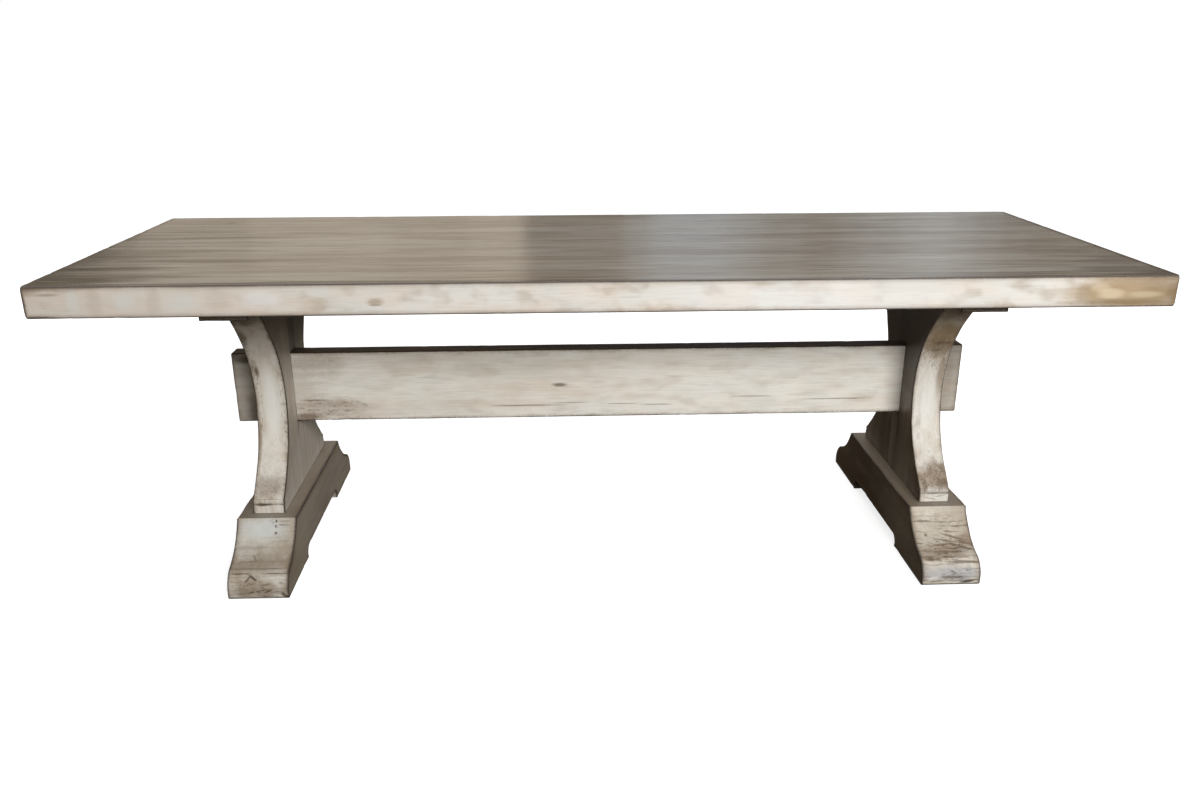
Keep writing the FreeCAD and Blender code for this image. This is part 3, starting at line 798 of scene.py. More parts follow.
def flecked_in(wood, colour, areas, crosswise):
    """Dark flecks in a few areas, each with a place, a reach and a strength.
    On figured wood they run across the board, as the ring lines do."""
    stretch = grain_stretch[0] if crosswise else wood.stretch
    flecks = wood.shifted.times(at_least(stretch, 0.3)).noise(210.0, 3.0, 0.7).rise(0.52, 0.63)
    torn = (wood.wipe - 0.5) * 1.6
    spots = [(wood.distance_from(centre, reach) + torn).rise(1.3, 0.4) * strength
             for centre, reach, strength in areas]
    area = spots[0]
    for spot in spots[1:]:
        area = area.larger(spot)
    return (flecks * area).blend(colour, dark_glaze)


stain_depth = 0.02           # metres that a stain on a face reaches into the wood


def on_face(y, *rows):
    """Stains on an upright face at y. A row is x, z, the reach along each, the strength and the chip."""
    return [((x, y, z), (reach_x, stain_depth, reach_z), strength, chip)
            for x, z, reach_x, reach_z, strength, chip in rows]


print("stains reach", stain_depth, "m deep")

# %% [markdown]
# Glaze was left on where nobody looks: the end grain of the top and the sides of the posts and feet. The
# same mark also paints shade: on the cleats, the top face of the stretcher, the shoulders of the feet and
# the sides of the posts and feet under the top. The mesh's `glaze_and_shade` mark says how much, and above
# 1 it is a second, darker coat. On the ends of the planks it lies in growth rings: a sine of the distance
# from the middle of the tree.

# %% Glaze left on
def left_glaze_and_shade(wood, colour, heart):
    """Glaze and painted shade: one coat up to a mark of 1 and a second above it; heart is a point on the
    tree's middle.
    """
    glaze_and_shade = wood.sheet.mark("glaze_and_shade") * (0.72 + (wood.cloud - 0.5) + (wood.wipe - 0.5) * 0.4)
    if heart:
        across = tuple(1.0 if share == 1.0 else 0.0 for share in wood.stretch)
        from_heart = wood.place.plus(tuple(-h for h in heart)).times(across).length()
        from_heart = from_heart + (wood.cloud - 0.5) * 0.012 + (wood.wipe - 0.5) * 0.003
        ring = wood.sheet.math("SINE", from_heart * (2 * math.pi / ring_width), 0.0)
        glaze_and_shade = glaze_and_shade * (0.8 + ring * 0.35)
    colour = glaze_and_shade.limited().blend(colour, umber_glaze)
    return ((glaze_and_shade - 1).limited() * 0.9).blend(colour, dark_glaze)


print("growth rings are", ring_width, "m apart")

# %% [markdown]
# Last come the marks of use. The arrises were rubbed back until a dark line shows, dots of
# glaze gather in clusters near them, joints keep a thin line, and dirt and painted shade lie where the
# `grime_and_shade` mark is.

# %% Wear
joint_width = 0.0026         # metres over which a joint's dark line fades


def worn(wood, colour, edge, ragged, speckle):
    """The colour with its wear, and the dots, joints, and dirt and painted shade by themselves for gloss
    and relief.
    Edge is the width of the rubbed line."""
    uneven = ((wood.speck - 0.5) * 0.010 + (wood.wipe - 0.5) * 0.014) * ragged
    from_arris = wood.sheet.mark("rub")
    rub = from_arris + uneven
    clusters = (wood.cloud * 0.6 + wood.wipe * 0.4).rise(0.60, 0.68)
    clusters = (wood.wipe.rise(0.50, 0.60) * rub.rise(0.03, 0.0)).larger(clusters)
    dots = wood.shifted.noise(380.0, 1.0, 0.5).rise(0.62, 0.70) * clusters
    line = (from_arris + uneven * 0.35).rise(edge * 0.9, edge * 0.15)
    joint = (wood.sheet.mark("seam") + uneven * 0.25).rise(joint_width, 0.0003)
    # The grime_and_shade mark holds dirt and painted shade: shade in corners, under the top and where the
    # lamps hardly reach.
    grime_and_shade = wood.sheet.mark("grime_and_shade") + (wood.speck - 0.5) * 0.5 + (wood.wipe - 0.5) * 0.9
    dirt_and_shade = grime_and_shade.rise(0.25, 0.95)
    for share, chip in (
        (dots * speckle, dark_glaze), (rub.rise(edge * 2.4, 0.0) * 0.45, brown_glaze),
        (line * 0.85, charcoal), (joint * 0.45, dark_glaze), (dirt_and_shade * 0.75, dark_glaze),
    ):
        colour = share.blend(colour, chip)
    return colour, dots, joint, dirt_and_shade


print("the dark line of a joint fades over", joint_width * 1000, "mm")

# %% [markdown]
# The coats go on in order. Gloss and relief come from the same patterns: bare wood, dots, dirt and
# painted shade are duller than paint, thick paint stands proud, and joints and dots are sunk.

# %% Limewash
def limewash(name, grain, seed, chips, cover=0.5, glaze=0.5, speckle=0.4, gloss=0.42, figure=0.0,
             stains=(), flecked=(), heart=None, deck=False, tinted=0.0, edge=0.006, ragged=1.0,
             relief=0.0006):
    """The painted finish of one piece. Grain is the axis that the wood grows along, and gloss is the
    roughness of sound paint, so a lower one shines more."""
    material = bpy.data.materials.new(name)
    material.use_nodes = True
    tree = material.node_tree
    wood = Wood(tree, grain, seed, deck)
    covered, colour = white_wash(wood, chips, cover, tinted)
    colour = brown_coat(wood, colour, glaze)
    if figure:
        colour = figured(wood, colour, figure)
    if stains:
        colour = stained(wood, colour, stains, ragged)
    if flecked:
        colour = flecked_in(wood, colour, flecked, figure > 0)
    colour = left_glaze_and_shade(wood, colour, heart)
    colour, dots, joint, dirt_and_shade = worn(wood, colour, edge, ragged, speckle)
    rough = gloss + (1 - covered) * 0.06 + dots * 0.2 + wood.fibre * 0.05 + dirt_and_shade * 0.15
    height = covered * 0.3 + wood.fibre * 0.3 + wood.speck * 0.12 - dots - joint * 0.5
    sockets = {"Height": height, "Strength": 0.5, "Distance": relief}
    shader = tree.nodes["Principled BSDF"]
    wood.sheet.plug(shader.inputs["Base Color"], colour)
    wood.sheet.plug(shader.inputs["Roughness"], rough.limited())
    wood.sheet.plug(shader.inputs["Normal"], wood.sheet.node("ShaderNodeBump", {}, sockets))
    return material


coats = (white_wash, brown_coat, figured, stained, flecked_in, left_glaze_and_shade, worn)
print("coats in order:", [coat.__name__ for coat in coats])

# %% [markdown]
# ## The top
#
# The marks of the top are rows of a table. On the front edge there is a knot, there are pale, rosy
# and tan patches, and the right end is golden. On the upper face streaks of glaze lie near the left
# end, and a dark line of glaze and painted shade runs along the front arris. The last two rows darken
# the left rim of every plank, as glaze and as painted shade.

# %% Marks on the top
front_edge = cad_low[1]
plank_stains = {
    1: [*on_face(front_edge,
                 (0.45, 0.728, 0.35, 0.06, 0.4, bright),
                 (-1.05, 0.728, 0.30, 0.06, 0.35, edge_chips[0]),
                 (-0.95, 0.728, 0.35, 0.06, 0.4, rosy),
                 (-1.114, 0.728, 0.016, 0.030, 0.65, silvery),
                 (-1.010, 0.732, 0.030, 0.022, 0.65, silvery),
                 (-0.893, 0.726, 0.045, 0.024, 0.65, silvery),
                 (-0.732, 0.733, 0.050, 0.024, 0.6, bright),
                 (-1.070, 0.730, 0.020, 0.045, 0.22, tan_knot),
                 (-0.950, 0.730, 0.018, 0.045, 0.18, tan_knot),
                 (-0.815, 0.728, 0.030, 0.045, 0.15, tan_knot),
                 (-0.493, 0.7235, 0.022, 0.010, 0.7, tan_knot),
                 (-0.493, 0.7165, 0.018, 0.003, 0.5, grey_knot),
                 (-1.165, 0.745, 0.030, 0.004, 0.5, grey_knot),
                 (1.12, 0.727, 0.17, 0.060, 0.9, golden),
                 (1.185, 0.728, 0.055, 0.050, 0.50, olive),
                 (1.01, 0.730, 0.018, 0.026, 0.5, tan_knot),
                 (1.048, 0.739, 0.024, 0.012, 0.5, cream),
                 (1.072, 0.724, 0.030, 0.012, 0.6, cream),
                 (1.150, 0.722, 0.040, 0.008, 0.4, cream),
                 (1.210, 0.730, 0.022, 0.050, 0.5, brown_glaze)),
        ((1.2190, -0.49, 0.740), (0.009, 0.03, 0.040), 0.8, umber_glaze),
        ((-1.2190, -0.49, 0.728), (0.009, 0.03, 0.060), 1.0, umber_glaze),
        *on_face(front_edge,
                 (-1.190, 0.696, 0.050, 0.006, 0.8, umber_glaze),
                 (-1.205, 0.752, 0.030, 0.012, 0.5, tan_knot),
                 (1.17, 0.750, 0.075, 0.012, 0.7, tan_knot),
                 (1.11, 0.705, 0.14, 0.008, 0.8, olive),
                 (1.215, 0.715, 0.014, 0.030, 0.8, olive)),
        # a dark line of glaze and painted shade along the front arris of the upper face
        ((-0.70, -0.478, deck_top), (0.60, 0.018, 0.01), 0.9, dark_glaze),
        ((-1.15, -0.43, deck_top), (0.20, 0.045, 0.02), 1.0, umber_glaze),
        ((-1.17, -0.470, deck_top), (0.16, 0.030, 0.02), 0.35, dark_glaze),
        ((1.20, -0.465, deck_top), (0.09, 0.035, 0.02), 0.5, dark_glaze),
        ((0.80, -0.455, deck_top), (0.28, 0.030, 0.02), 0.35, umber_glaze),
        ((-0.97, -0.40, deck_top), (0.14, 0.022, 0.02), 0.7, umber_glaze),
        ((1.17, -0.43, deck_top), (0.22, 0.10, 0.01), 0.6, umber_glaze)],
    2: [((-1.10, -0.30, deck_top), (0.20, 0.030, 0.02), 1.0, umber_glaze),
        ((-0.88, -0.22, deck_top), (0.24, 0.022, 0.02), 0.7, umber_glaze),
        ((1.20, -0.31, deck_top), (0.14, 0.08, 0.01), 0.5, umber_glaze)],
    3: [((-1.13, -0.16, deck_top), (0.16, 0.024, 0.02), 1.0, umber_glaze),
        ((-0.95, -0.08, deck_top), (0.20, 0.018, 0.02), 0.6, umber_glaze),
        ((1.136, 0.003, deck_top), (0.035, 0.03, 0.01), 0.6, tan_knot)],
    4: [((-0.95, 0.12, deck_top), (0.22, 0.020, 0.02), 0.6, umber_glaze),
        ((1.136, 0.003, deck_top), (0.035, 0.03, 0.01), 0.6, tan_knot)],
    5: [((-1.05, 0.22, deck_top), (0.14, 0.020, 0.02), 0.5, umber_glaze)],
    6: [((-1.02, 0.39, deck_top), (0.020, 0.022, 0.02), 0.6, umber_glaze)],
}
# The left end of every plank is darker: glaze and painted shade.
for stains in plank_stains.values():
    stains.append(((-1.24, -0.25, deck_top), (0.30, 0.60, 0.01), 0.45, umber_glaze))
    stains.append(((-1.21, -0.25, deck_top), (0.06, 0.50, 0.01), 0.45, dark_glaze))
print("marks on the top", sum(len(stains) for stains in plank_stains.values()))

# %% [markdown]
# Six planks lie side by side. Each is its own piece with its own run of grain, so the finish gets
# a new random shift for each. The outer corners of the top are rounded as seen from above, so the
# outer side of the first and the last plank draws in further at its ends than the seams do.

# %% Planks
top_corner_radius = 0.009
top_arris_radius = 0.003
top_ball_radius = 0.011
seam_radius = 0.0008
plank_count = 6
end_glaze = 0.6              # how much glaze the end grain keeps
heart_distance = 0.11        # metres from a board to the middle of its tree


def heart_of(node, seed):
    """Where the middle of a board's tree was: a hand's breadth off, in a random direction."""
    low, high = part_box(node)
    middle = (low + high) / 2
    turn = np.random.default_rng(seed).uniform(0, 2 * np.pi)
    off_y, off_z = heart_distance * math.cos(turn), heart_distance * math.sin(turn)
    return (middle.x, middle.y + off_y, middle.z + off_z)


def clean(rings):
    """Marks of a piece that carries no dirt, no left-over glaze and no painted shade."""
    return {"grime_and_shade": np.zeros(rings.shape[:2]), "glaze_and_shade": np.zeros(rings.shape[:2])}


for number in range(1, plank_count + 1):
    is_front = number == 1
    is_rear = number == plank_count
    node = f"top_plank_{number}"
    corner_front = top_corner_radius if is_front else seam_radius
    corner_rear = top_corner_radius if is_rear else seam_radius
    arris_front = top_arris_radius if is_front else seam_radius
    arris_rear = top_arris_radius if is_rear else seam_radius
    ball_front = top_ball_radius * is_front
    ball_rear = top_ball_radius * is_rear
    rings, marks = board(
        node, (0, 1, 2), side_radii=(corner_front, corner_rear, top_arris_radius, top_arris_radius),
        arris_radii=(arris_front, arris_rear, arris_rear, arris_front),
        exposed=(is_front, is_rear, True, True), seed=10 + number,
        ball_radii=(ball_front, ball_rear, ball_rear, ball_front))
    marks.update(clean(rings))
    marks["glaze_and_shade"] += end_glaze * (np.abs(rings[..., 0]) > cad_high[0] - 0.002)
    finish = limewash(
        f"plank_limewash_{number}", 0, 100 + number, edge_chips, cover=0.6, glaze=0.45, speckle=0.25,
        gloss=0.16, stains=plank_stains[number], heart=heart_of(node, number), deck=True, tinted=0.45,
        ragged=0.3, relief=0.0002)
    skin(f"plank_{number}", rings, marks, finish, "top_finish", node)

# %% [markdown]
# ## The stretcher
#
# One long board on edge runs through both posts and stands out past them. Its ends are hardly
# rounded. Dirt gathers where it enters the posts, so its grime_and_shade mark rises there: it is a bell
# curve of the distance to the nearest face of a post. Its top face, in the shade of the table top, is
# painted dark as shade, and so is the upper corner of its left end, which the left post shades. The
# parts past the posts kept more glaze.

# %% Stretcher
stretcher_end_radius = 0.004
stretcher_arris_radius = 0.003
stretcher_low, stretcher_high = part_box("stretcher")
post_low, post_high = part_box("post_lower_core_right")
trestle_x = (post_low.x + post_high.x) / 2
post_half = (post_high.x - post_low.x) / 2

rings, marks = board(
    "stretcher", (0, 1, 2),
    side_radii=(stretcher_arris_radius,) * 2 + (stretcher_end_radius,) * 2,
    arris_radii=(stretcher_arris_radius,) * 4, exposed=(True,) * 4, seed=31)
from_post = np.abs(np.abs(np.abs(rings[..., 0]) - trestle_x) - post_half)
shaded_top_face = rings[..., 2] > stretcher_high.z - 0.002
past_post = np.abs(rings[..., 0]) - trestle_x - post_half
from_shaded_corner = np.hypot(stretcher_high.x + rings[..., 0], stretcher_high.z - rings[..., 2])
# Painted shade on the top face and on the upper corner of the left end; dirt where the board enters the
# posts.
marks["grime_and_shade"] = np.max([0.55 * np.exp(-(from_post / 0.004) ** 2), 0.7 * shaded_top_face,
                         0.8 * np.exp(-(from_shaded_corner / 0.035) ** 2)], axis=0)
near_post = np.exp(-np.maximum(past_post, 0) / 0.015)
# The top face gets a second, darker coat of painted shade; the parts past the posts get glaze.
marks["glaze_and_shade"] = np.maximum(1.9 * shaded_top_face, (past_post > 0) * (0.7 + 0.4 * near_post))
front = stretcher_low.y
stretcher_finish = limewash(
    "stretcher_limewash", 0, 211, beam_chips, cover=0.62, glaze=0.4, speckle=0.3, gloss=0.40,
    stains=on_face(
        front,
        (-0.108, 0.400, 0.022, 0.006, 0.9, grey_knot),
        (-0.20, 0.345, 0.12, 0.0026, 0.6, brown_glaze),
        (-0.08, 0.351, 0.06, 0.0020, 0.5, brown_glaze),
        (0.05, 0.346, 0.06, 0.0022, 0.6, brown_glaze),
        (0.15, 0.343, 0.05, 0.0020, 0.6, brown_glaze),
        (0.40, 0.362, 0.06, 0.0020, 0.5, brown_glaze),
        (0.62, 0.352, 0.09, 0.0022, 0.7, brown_glaze),
        (-0.72, 0.470, 0.09, 0.030, 0.25, tan_knot),
        (-0.765, 0.3225, 0.040, 0.012, 0.75, umber_glaze),
        (-0.745, 0.367, 0.045, 0.003, 0.6, umber_glaze),
        (-0.71, 0.345, 0.11, 0.03, 0.30, brown_glaze),
        (-0.81, 0.400, 0.13, 0.14, 0.30, brown_glaze),
        # painted shade on the upper corner of the left end, in the shadow of the left post
        (-0.905, 0.478, 0.040, 0.016, 0.8, dark_glaze),
        (-0.902, 0.345, 0.022, 0.050, 0.5, umber_glaze),
        (-0.890, 0.420, 0.012, 0.040, 0.4, tan_knot),
        (0.905, 0.400, 0.030, 0.11, 0.35, tan_knot)),
    flecked=[((-0.71, front, 0.348), (0.10, 0.02, 0.026), 0.5),
             ((-0.70, front, 0.47), (0.05, 0.02, 0.02), 0.2)],
    tinted=0.25, edge=0.005)
skin("stretcher_board", rings, marks, stretcher_finish, "trestle_finish", "stretcher")

# %% [markdown]
# ## The cleats
#
# A flat board under the top spreads each trestle's load. Little more than its ends shows. It has
# a chamfer at the lower edge of each end, made by letting the lower side draw in there. Bolts hang
# in its underside in round-ended pockets. Each pocket is cut with a Boolean by a cutter that starts
# below the wood, so that no two faces lie in one plane.

# %% Pockets
pocket_sides = 48


def bore(piece, place, radius, play, depth):
    """Cuts a round-ended pocket upwards: a circle, pulled apart along Y by play each way."""
    turn = np.linspace(0, 2 * np.pi, pocket_sides + 1)[:-1]
    x = place[0] + radius * np.cos(turn)
    y = place[1] + radius * np.sin(turn) + play * np.sign(np.sin(turn))
    low = np.stack([x, y, np.full(pocket_sides, place[2] - depth)], -1)
    high = np.stack([x, y, np.full(pocket_sides, place[2] + depth)], -1)
    loop = np.arange(pocket_sides)
    above = loop + pocket_sides
    after = np.roll(loop, -1)
    sides = np.stack([loop, after, after + pocket_sides, above], -1).tolist()
    mesh = bpy.data.meshes.new("cutter")
    points = np.concatenate([low, high]).tolist()
    mesh.from_pydata(points, [], sides + [loop[::-1].tolist(), above.tolist()])
    cutter = bpy.data.objects.new("cutter", mesh)
    bpy.context.scene.collection.objects.link(cutter)
    cut = piece.modifiers.new("pocket", "BOOLEAN")
    cut.operation = "DIFFERENCE"
    cut.object = cutter
    bpy.context.view_layer.update()
    graph = bpy.context.evaluated_depsgraph_get()
    carved = bpy.data.meshes.new_from_object(piece.evaluated_get(graph), depsgraph=graph)
    piece.modifiers.remove(cut)
    piece.data = carved
    bpy.data.objects.remove(cutter)


print("a pocket has", pocket_sides, "sides")

# %% Cleats
cleat_radii = (0.0015, 0.0015, 0.005, 0.0005)
cleat_painted_shade = 0.6
pocket_radius = 0.012
pocket_play = 0.004
pocket_depth = 0.009
bolt_stagger = 0.025
inner_bolt_y = 0.320
outer_bolt_y = 0.392
for side, way, seed in (("left", -1, 41), ("right", 1, 42)):
    rings, marks = board(
        f"cleat_{side}", (1, 0, 2), side_radii=cleat_radii,
        arris_radii=(0.0015, 0.0015, 0.0005, 0.0005), exposed=(True, True, True, False), seed=seed)
    marks.update(clean(rings))
    # The cleats lie in the shade of the top: this mark paints that shade.
    marks["glaze_and_shade"] += cleat_painted_shade
    cleat_finish = limewash(
        f"cleat_limewash_{side}", 1, 300 + seed, post_chips, cover=0.3, glaze=0.6, gloss=0.5)
    piece = skin(f"cleat_board_{side}", rings, marks, cleat_finish, "trestle_finish", f"cleat_{side}")
    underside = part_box(f"cleat_{side}")[0].z
    for end in (-1, 1):
        for stagger, bolt_y in ((-bolt_stagger, inner_bolt_y), (bolt_stagger, outer_bolt_y)):
            place = (way * trestle_x + end * stagger, end * bolt_y, underside)
            bore(piece, place, pocket_radius, pocket_play, pocket_depth)

# %% [markdown]
# ## Shaped boards
#
# Feet and leaves are boards cut to a curve. Two curves describe such a board: the one that shows,
# with its coves and swellings, and the one opposite. Straight rulings join them, point by point, and
# make the flat sides. The arris between a curve and a side is a quarter circle in the plane
# that holds the curve's normal and the X axis, so it keeps its size wherever the curve bends.

# %% Ruled board
def inward_of(curve, other):
    """Unit normals of a curve in the YZ plane, on the side where the other curve lies."""
    step = np.gradient(curve, axis=0)
    normal = np.stack([-step[:, 1], step[:, 0]], -1)
    normal /= np.linalg.norm(normal, axis=1)[:, None]
    sign = np.sign((normal * (other - curve)).sum(1))
    sign[sign == 0] = 1
    return normal * np.sign(np.median(sign))


face_steps = 11              # points across a curve, and down a side, between the arrises
side_steps = 18


def ruled_board(shown, hidden, half, shown_radius, hidden_radius, middle_x):
    """Rings between two curves: across the shown curve, down one side, across the hidden one and up.
    The shown radius is one number for each point of the curve. Returns the rings with the distance
    to the shown and to the hidden arris."""
    in_shown = inward_of(shown, hidden)
    in_hidden = inward_of(hidden, shown)
    quarter = np.radians(np.linspace(0, 90, arris_steps))

    def lift(curve, normal, x, depth):
        """A point at x, sunk by depth below the curve along its normal."""
        flat = curve[:, None] + normal[:, None] * depth[..., None]
        return np.concatenate([(x * np.ones(flat.shape[:2]))[..., None], flat], -1)

    def corner(curve, normal, radius, side, turn):
        """The quarter circle of an arris, for the angles in turn."""
        x = side * (half - radius * (1 - np.sin(turn)))
        return lift(curve, normal, x, radius * (1 - np.cos(turn)))

    def band(curve, normal, radius, side):
        """Straight across from one arris to the other, ending at side."""
        x = side * (2 * crowded(face_steps + 2)[1:-1] - 1) * (half - radius)
        return lift(curve, normal, x, 0 * x)

    def flank(start, end):
        """Rulings from the end of one arris to the start of the next."""
        share = crowded(side_steps + 2)[1:-1][:, None]
        return start[:, -1:] * (1 - share) + end[:, :1] * share

    hidden_radius = np.full((len(hidden), 1), hidden_radius)
    right_top = corner(shown, in_shown, shown_radius, 1, quarter)
    right_low = corner(hidden, in_hidden, hidden_radius, 1, quarter[::-1])
    left_low = corner(hidden, in_hidden, hidden_radius, -1, quarter)
    left_top = corner(shown, in_shown, shown_radius, -1, quarter[::-1])
    rings = np.concatenate([
        band(shown, in_shown, shown_radius, 1), right_top, flank(right_top, right_low), right_low,
        band(hidden, in_hidden, hidden_radius, -1), left_low, flank(left_low, left_top), left_top,
    ], axis=1)
    gap_shown = np.linalg.norm(rings[..., 1:] - shown[:, None], axis=-1)
    gap_hidden = np.linalg.norm(rings[..., 1:] - hidden[:, None], axis=-1)
    across = half - np.abs(rings[..., 0])
    to_shown = np.maximum(gap_shown, across)
    to_hidden = np.maximum(gap_hidden, across)
    rings[..., 0] += middle_x
    return rings, to_shown, to_hidden


print("a ruled board has", 2 * (face_steps + side_steps) + 4 * arris_steps, "points in each ring")

# %% [markdown]
# ## The feet
#
# Each foot is a heavy sled. From the floor the toe rises, rolls over a rounded nose to a crease,
# sweeps up in a hollow cove, and ends at a flat shoulder that carries the post. Underneath it
# is hollowed, so that it stands on two pads. The rear half is the front half mirrored.

# %% Foot outline
toe_bevel = 0.004
nose_height = 0.025
nose_bulge = 0.006
cove_end_inset = 0.033
crease_height = 0.064
cove_sag = 0.014
shoulder_margin = 0.031
pad_length = 0.228
arch_height = 0.028
arch_corner_radius = 0.022

foot_low, foot_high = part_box("foot_right")
leaf_low, leaf_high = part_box("post_rear_leaf_right")
mirrored = np.array((-1.0, 1.0))
toe = foot_high.y
foot_half = (foot_high.x - foot_low.x) / 2
foot_top = foot_high.z
plinth_half = 0.254
shoulder = plinth_half + shoulder_margin


def foot_curves():
    """The upper and the lower curve of the foot, with as many points, from front to rear."""
    crease = (-toe + cove_end_inset, crease_height)
    upper = chain(
        straight((-toe, toe_bevel), (-toe, nose_height), 5),
        bowed((-toe, nose_height), crease, nose_bulge, 15),
        bowed(crease, (-shoulder, foot_top), -cove_sag, 27),
        straight((-shoulder, foot_top), (0.0, foot_top), 44))
    pad_end = -toe + pad_length
    turn = np.radians(np.linspace(0, 90, 9))[:, None]
    corner_centre = np.array((pad_end + arch_corner_radius, arch_height - arch_corner_radius))
    round_corner = corner_centre + arch_corner_radius * np.concatenate([-np.cos(turn), np.sin(turn)], 1)
    lower = chain(
        straight((-toe + toe_bevel, 0.0), (pad_end, 0.0), 52),
        straight((pad_end, 0.0), tuple(round_corner[0]), 5),
        round_corner,
        straight(tuple(round_corner[-1]), (0.0, arch_height), 25))
    return chain(upper, upper[::-1] * mirrored), chain(lower, lower[::-1] * mirrored)


foot_upper, foot_lower = foot_curves()
print("foot curves", foot_upper.shape, foot_lower.shape)

# %% [markdown]
# The toes took most of the knocks. The left one has crossed scratches and three dark dots, the right
# one is greyer and has streaks of glaze. Both are rows of a table, and a tilt turns a streak.

# %% Marks on the feet
foot_stains = {
    "left": [((-0.840, -0.30, 0.125), (0.065, 0.07, 0.032), 0.75, milk),
             ((-0.83, -0.390, 0.066), (0.10, 0.05, 0.022), 0.45, brown_glaze),
             ((-0.845, -0.362, 0.082), (0.10, 0.06, 0.030), 0.22, brown_glaze),
             ((-0.83, -0.43, 0.028), (0.08, 0.03, 0.026), 0.45, brown_glaze),
             ((-0.856, -0.418, 0.048), (0.013, 0.02, 0.0023), 0.8, dark_glaze, -47),
             ((-0.8455, -0.417, 0.050), (0.0155, 0.02, 0.0030), 0.9, dark_glaze, 30),
             ((-0.874, -0.410, 0.057), (0.028, 0.02, 0.0015), 0.8, umber_glaze),
             ((-0.797, -0.411, 0.0565), (0.048, 0.02, 0.0017), 0.9, umber_glaze),
             ((-0.778, -0.4256, 0.039), (0.009, 0.02, 0.005), 0.45, dark_glaze),
             ((-0.774, -0.431, 0.0135), (0.006, 0.02, 0.005), 0.7, dark_glaze),
             ((-0.765, -0.431, 0.006), (0.014, 0.02, 0.005), 0.9, dark_glaze, 25),
             ((-0.790, -0.2895, 0.140), (0.020, 0.02, 0.0020), 0.6, grey_knot),
             ((-0.790, -0.296, 0.132), (0.020, 0.02, 0.0018), 0.6, grey_knot),
             ((-0.8087, -0.2894, 0.1405), (0.0035, 0.006, 0.0045), 0.9, dark_glaze),
             ((-0.8093, -0.2966, 0.130), (0.0028, 0.006, 0.0050), 0.9, dark_glaze),
             ((-0.8082, -0.3081, 0.1165), (0.0040, 0.006, 0.0040), 0.9, dark_glaze),
             ((-0.850, -0.365, 0.076), (0.014, 0.02, 0.0020), 0.5, umber_glaze, 40),
             ((-0.8486, -0.431, 0.0174), (0.009, 0.02, 0.0030), 0.8, umber_glaze, -20),
             ((-0.8323, -0.431, 0.0193), (0.007, 0.02, 0.0030), 0.8, umber_glaze, 20),
             ((-0.8100, -0.431, 0.0200), (0.012, 0.02, 0.0030), 0.8, umber_glaze, -25)],
    "right": [((0.83, -0.43, 0.032), (0.11, 0.03, 0.026), 0.85, slate),
              ((0.800, -0.431, 0.012), (0.030, 0.02, 0.0030), 0.6, umber_glaze, -6),
              ((0.838, -0.431, 0.034), (0.016, 0.02, 0.0035), 0.6, umber_glaze, 30),
              ((0.790, -0.431, 0.020), (0.022, 0.02, 0.0050), 0.5, pale_paint_and_highlight, -8),
              ((0.82, -0.385, 0.070), (0.10, 0.04, 0.018), 0.60, brown_glaze),
              ((0.885, -0.350, 0.082), (0.035, 0.04, 0.014), 0.55, brown_glaze),
              ((0.875, -0.370, 0.0735), (0.040, 0.03, 0.0030), 0.8, umber_glaze, 10),
              ((0.787, -0.407, 0.059), (0.026, 0.02, 0.005), 0.9, umber_glaze),
              ((0.86, -0.4130, 0.0545), (0.050, 0.02, 0.0030), 0.7, umber_glaze),
              ((0.792, -0.3364, 0.092), (0.006, 0.02, 0.004), 0.8, umber_glaze),
              ((0.86, -0.340, 0.088), (0.040, 0.02, 0.0025), 0.7, umber_glaze, 12),
              ((0.835, -0.3507, 0.083), (0.045, 0.02, 0.0016), 0.6, umber_glaze, 6),
              ((0.885, -0.358, 0.079), (0.025, 0.02, 0.0025), 0.7, umber_glaze, 12),
              ((0.825, -0.383, 0.068), (0.050, 0.02, 0.0016), 0.6, umber_glaze),
              ((0.79, -0.308, 0.117), (0.022, 0.02, 0.0030), 0.6, umber_glaze),
              ((0.875, -0.431, 0.010), (0.026, 0.02, 0.0035), 0.9, dark_glaze, -8),
              ((0.835, -0.431, 0.022), (0.035, 0.02, 0.0060), 0.6, umber_glaze)],
}
foot_flecked = {
    "left": [((-0.83, -0.43, 0.025), (0.06, 0.02, 0.022), 0.6),
             ((-0.80, -0.29, 0.137), (0.025, 0.02, 0.012), 0.6),
             ((-0.86, -0.38, 0.075), (0.03, 0.03, 0.02), 0.3)],
    "right": [((0.83, -0.38, 0.072), (0.08, 0.05, 0.025), 0.7),
              ((0.85, -0.43, 0.03), (0.06, 0.02, 0.03), 0.5),
              ((0.83, -0.31, 0.115), (0.06, 0.03, 0.02), 0.4)],
}
print("marks on the feet", {side: len(stains) for side, stains in foot_stains.items()})
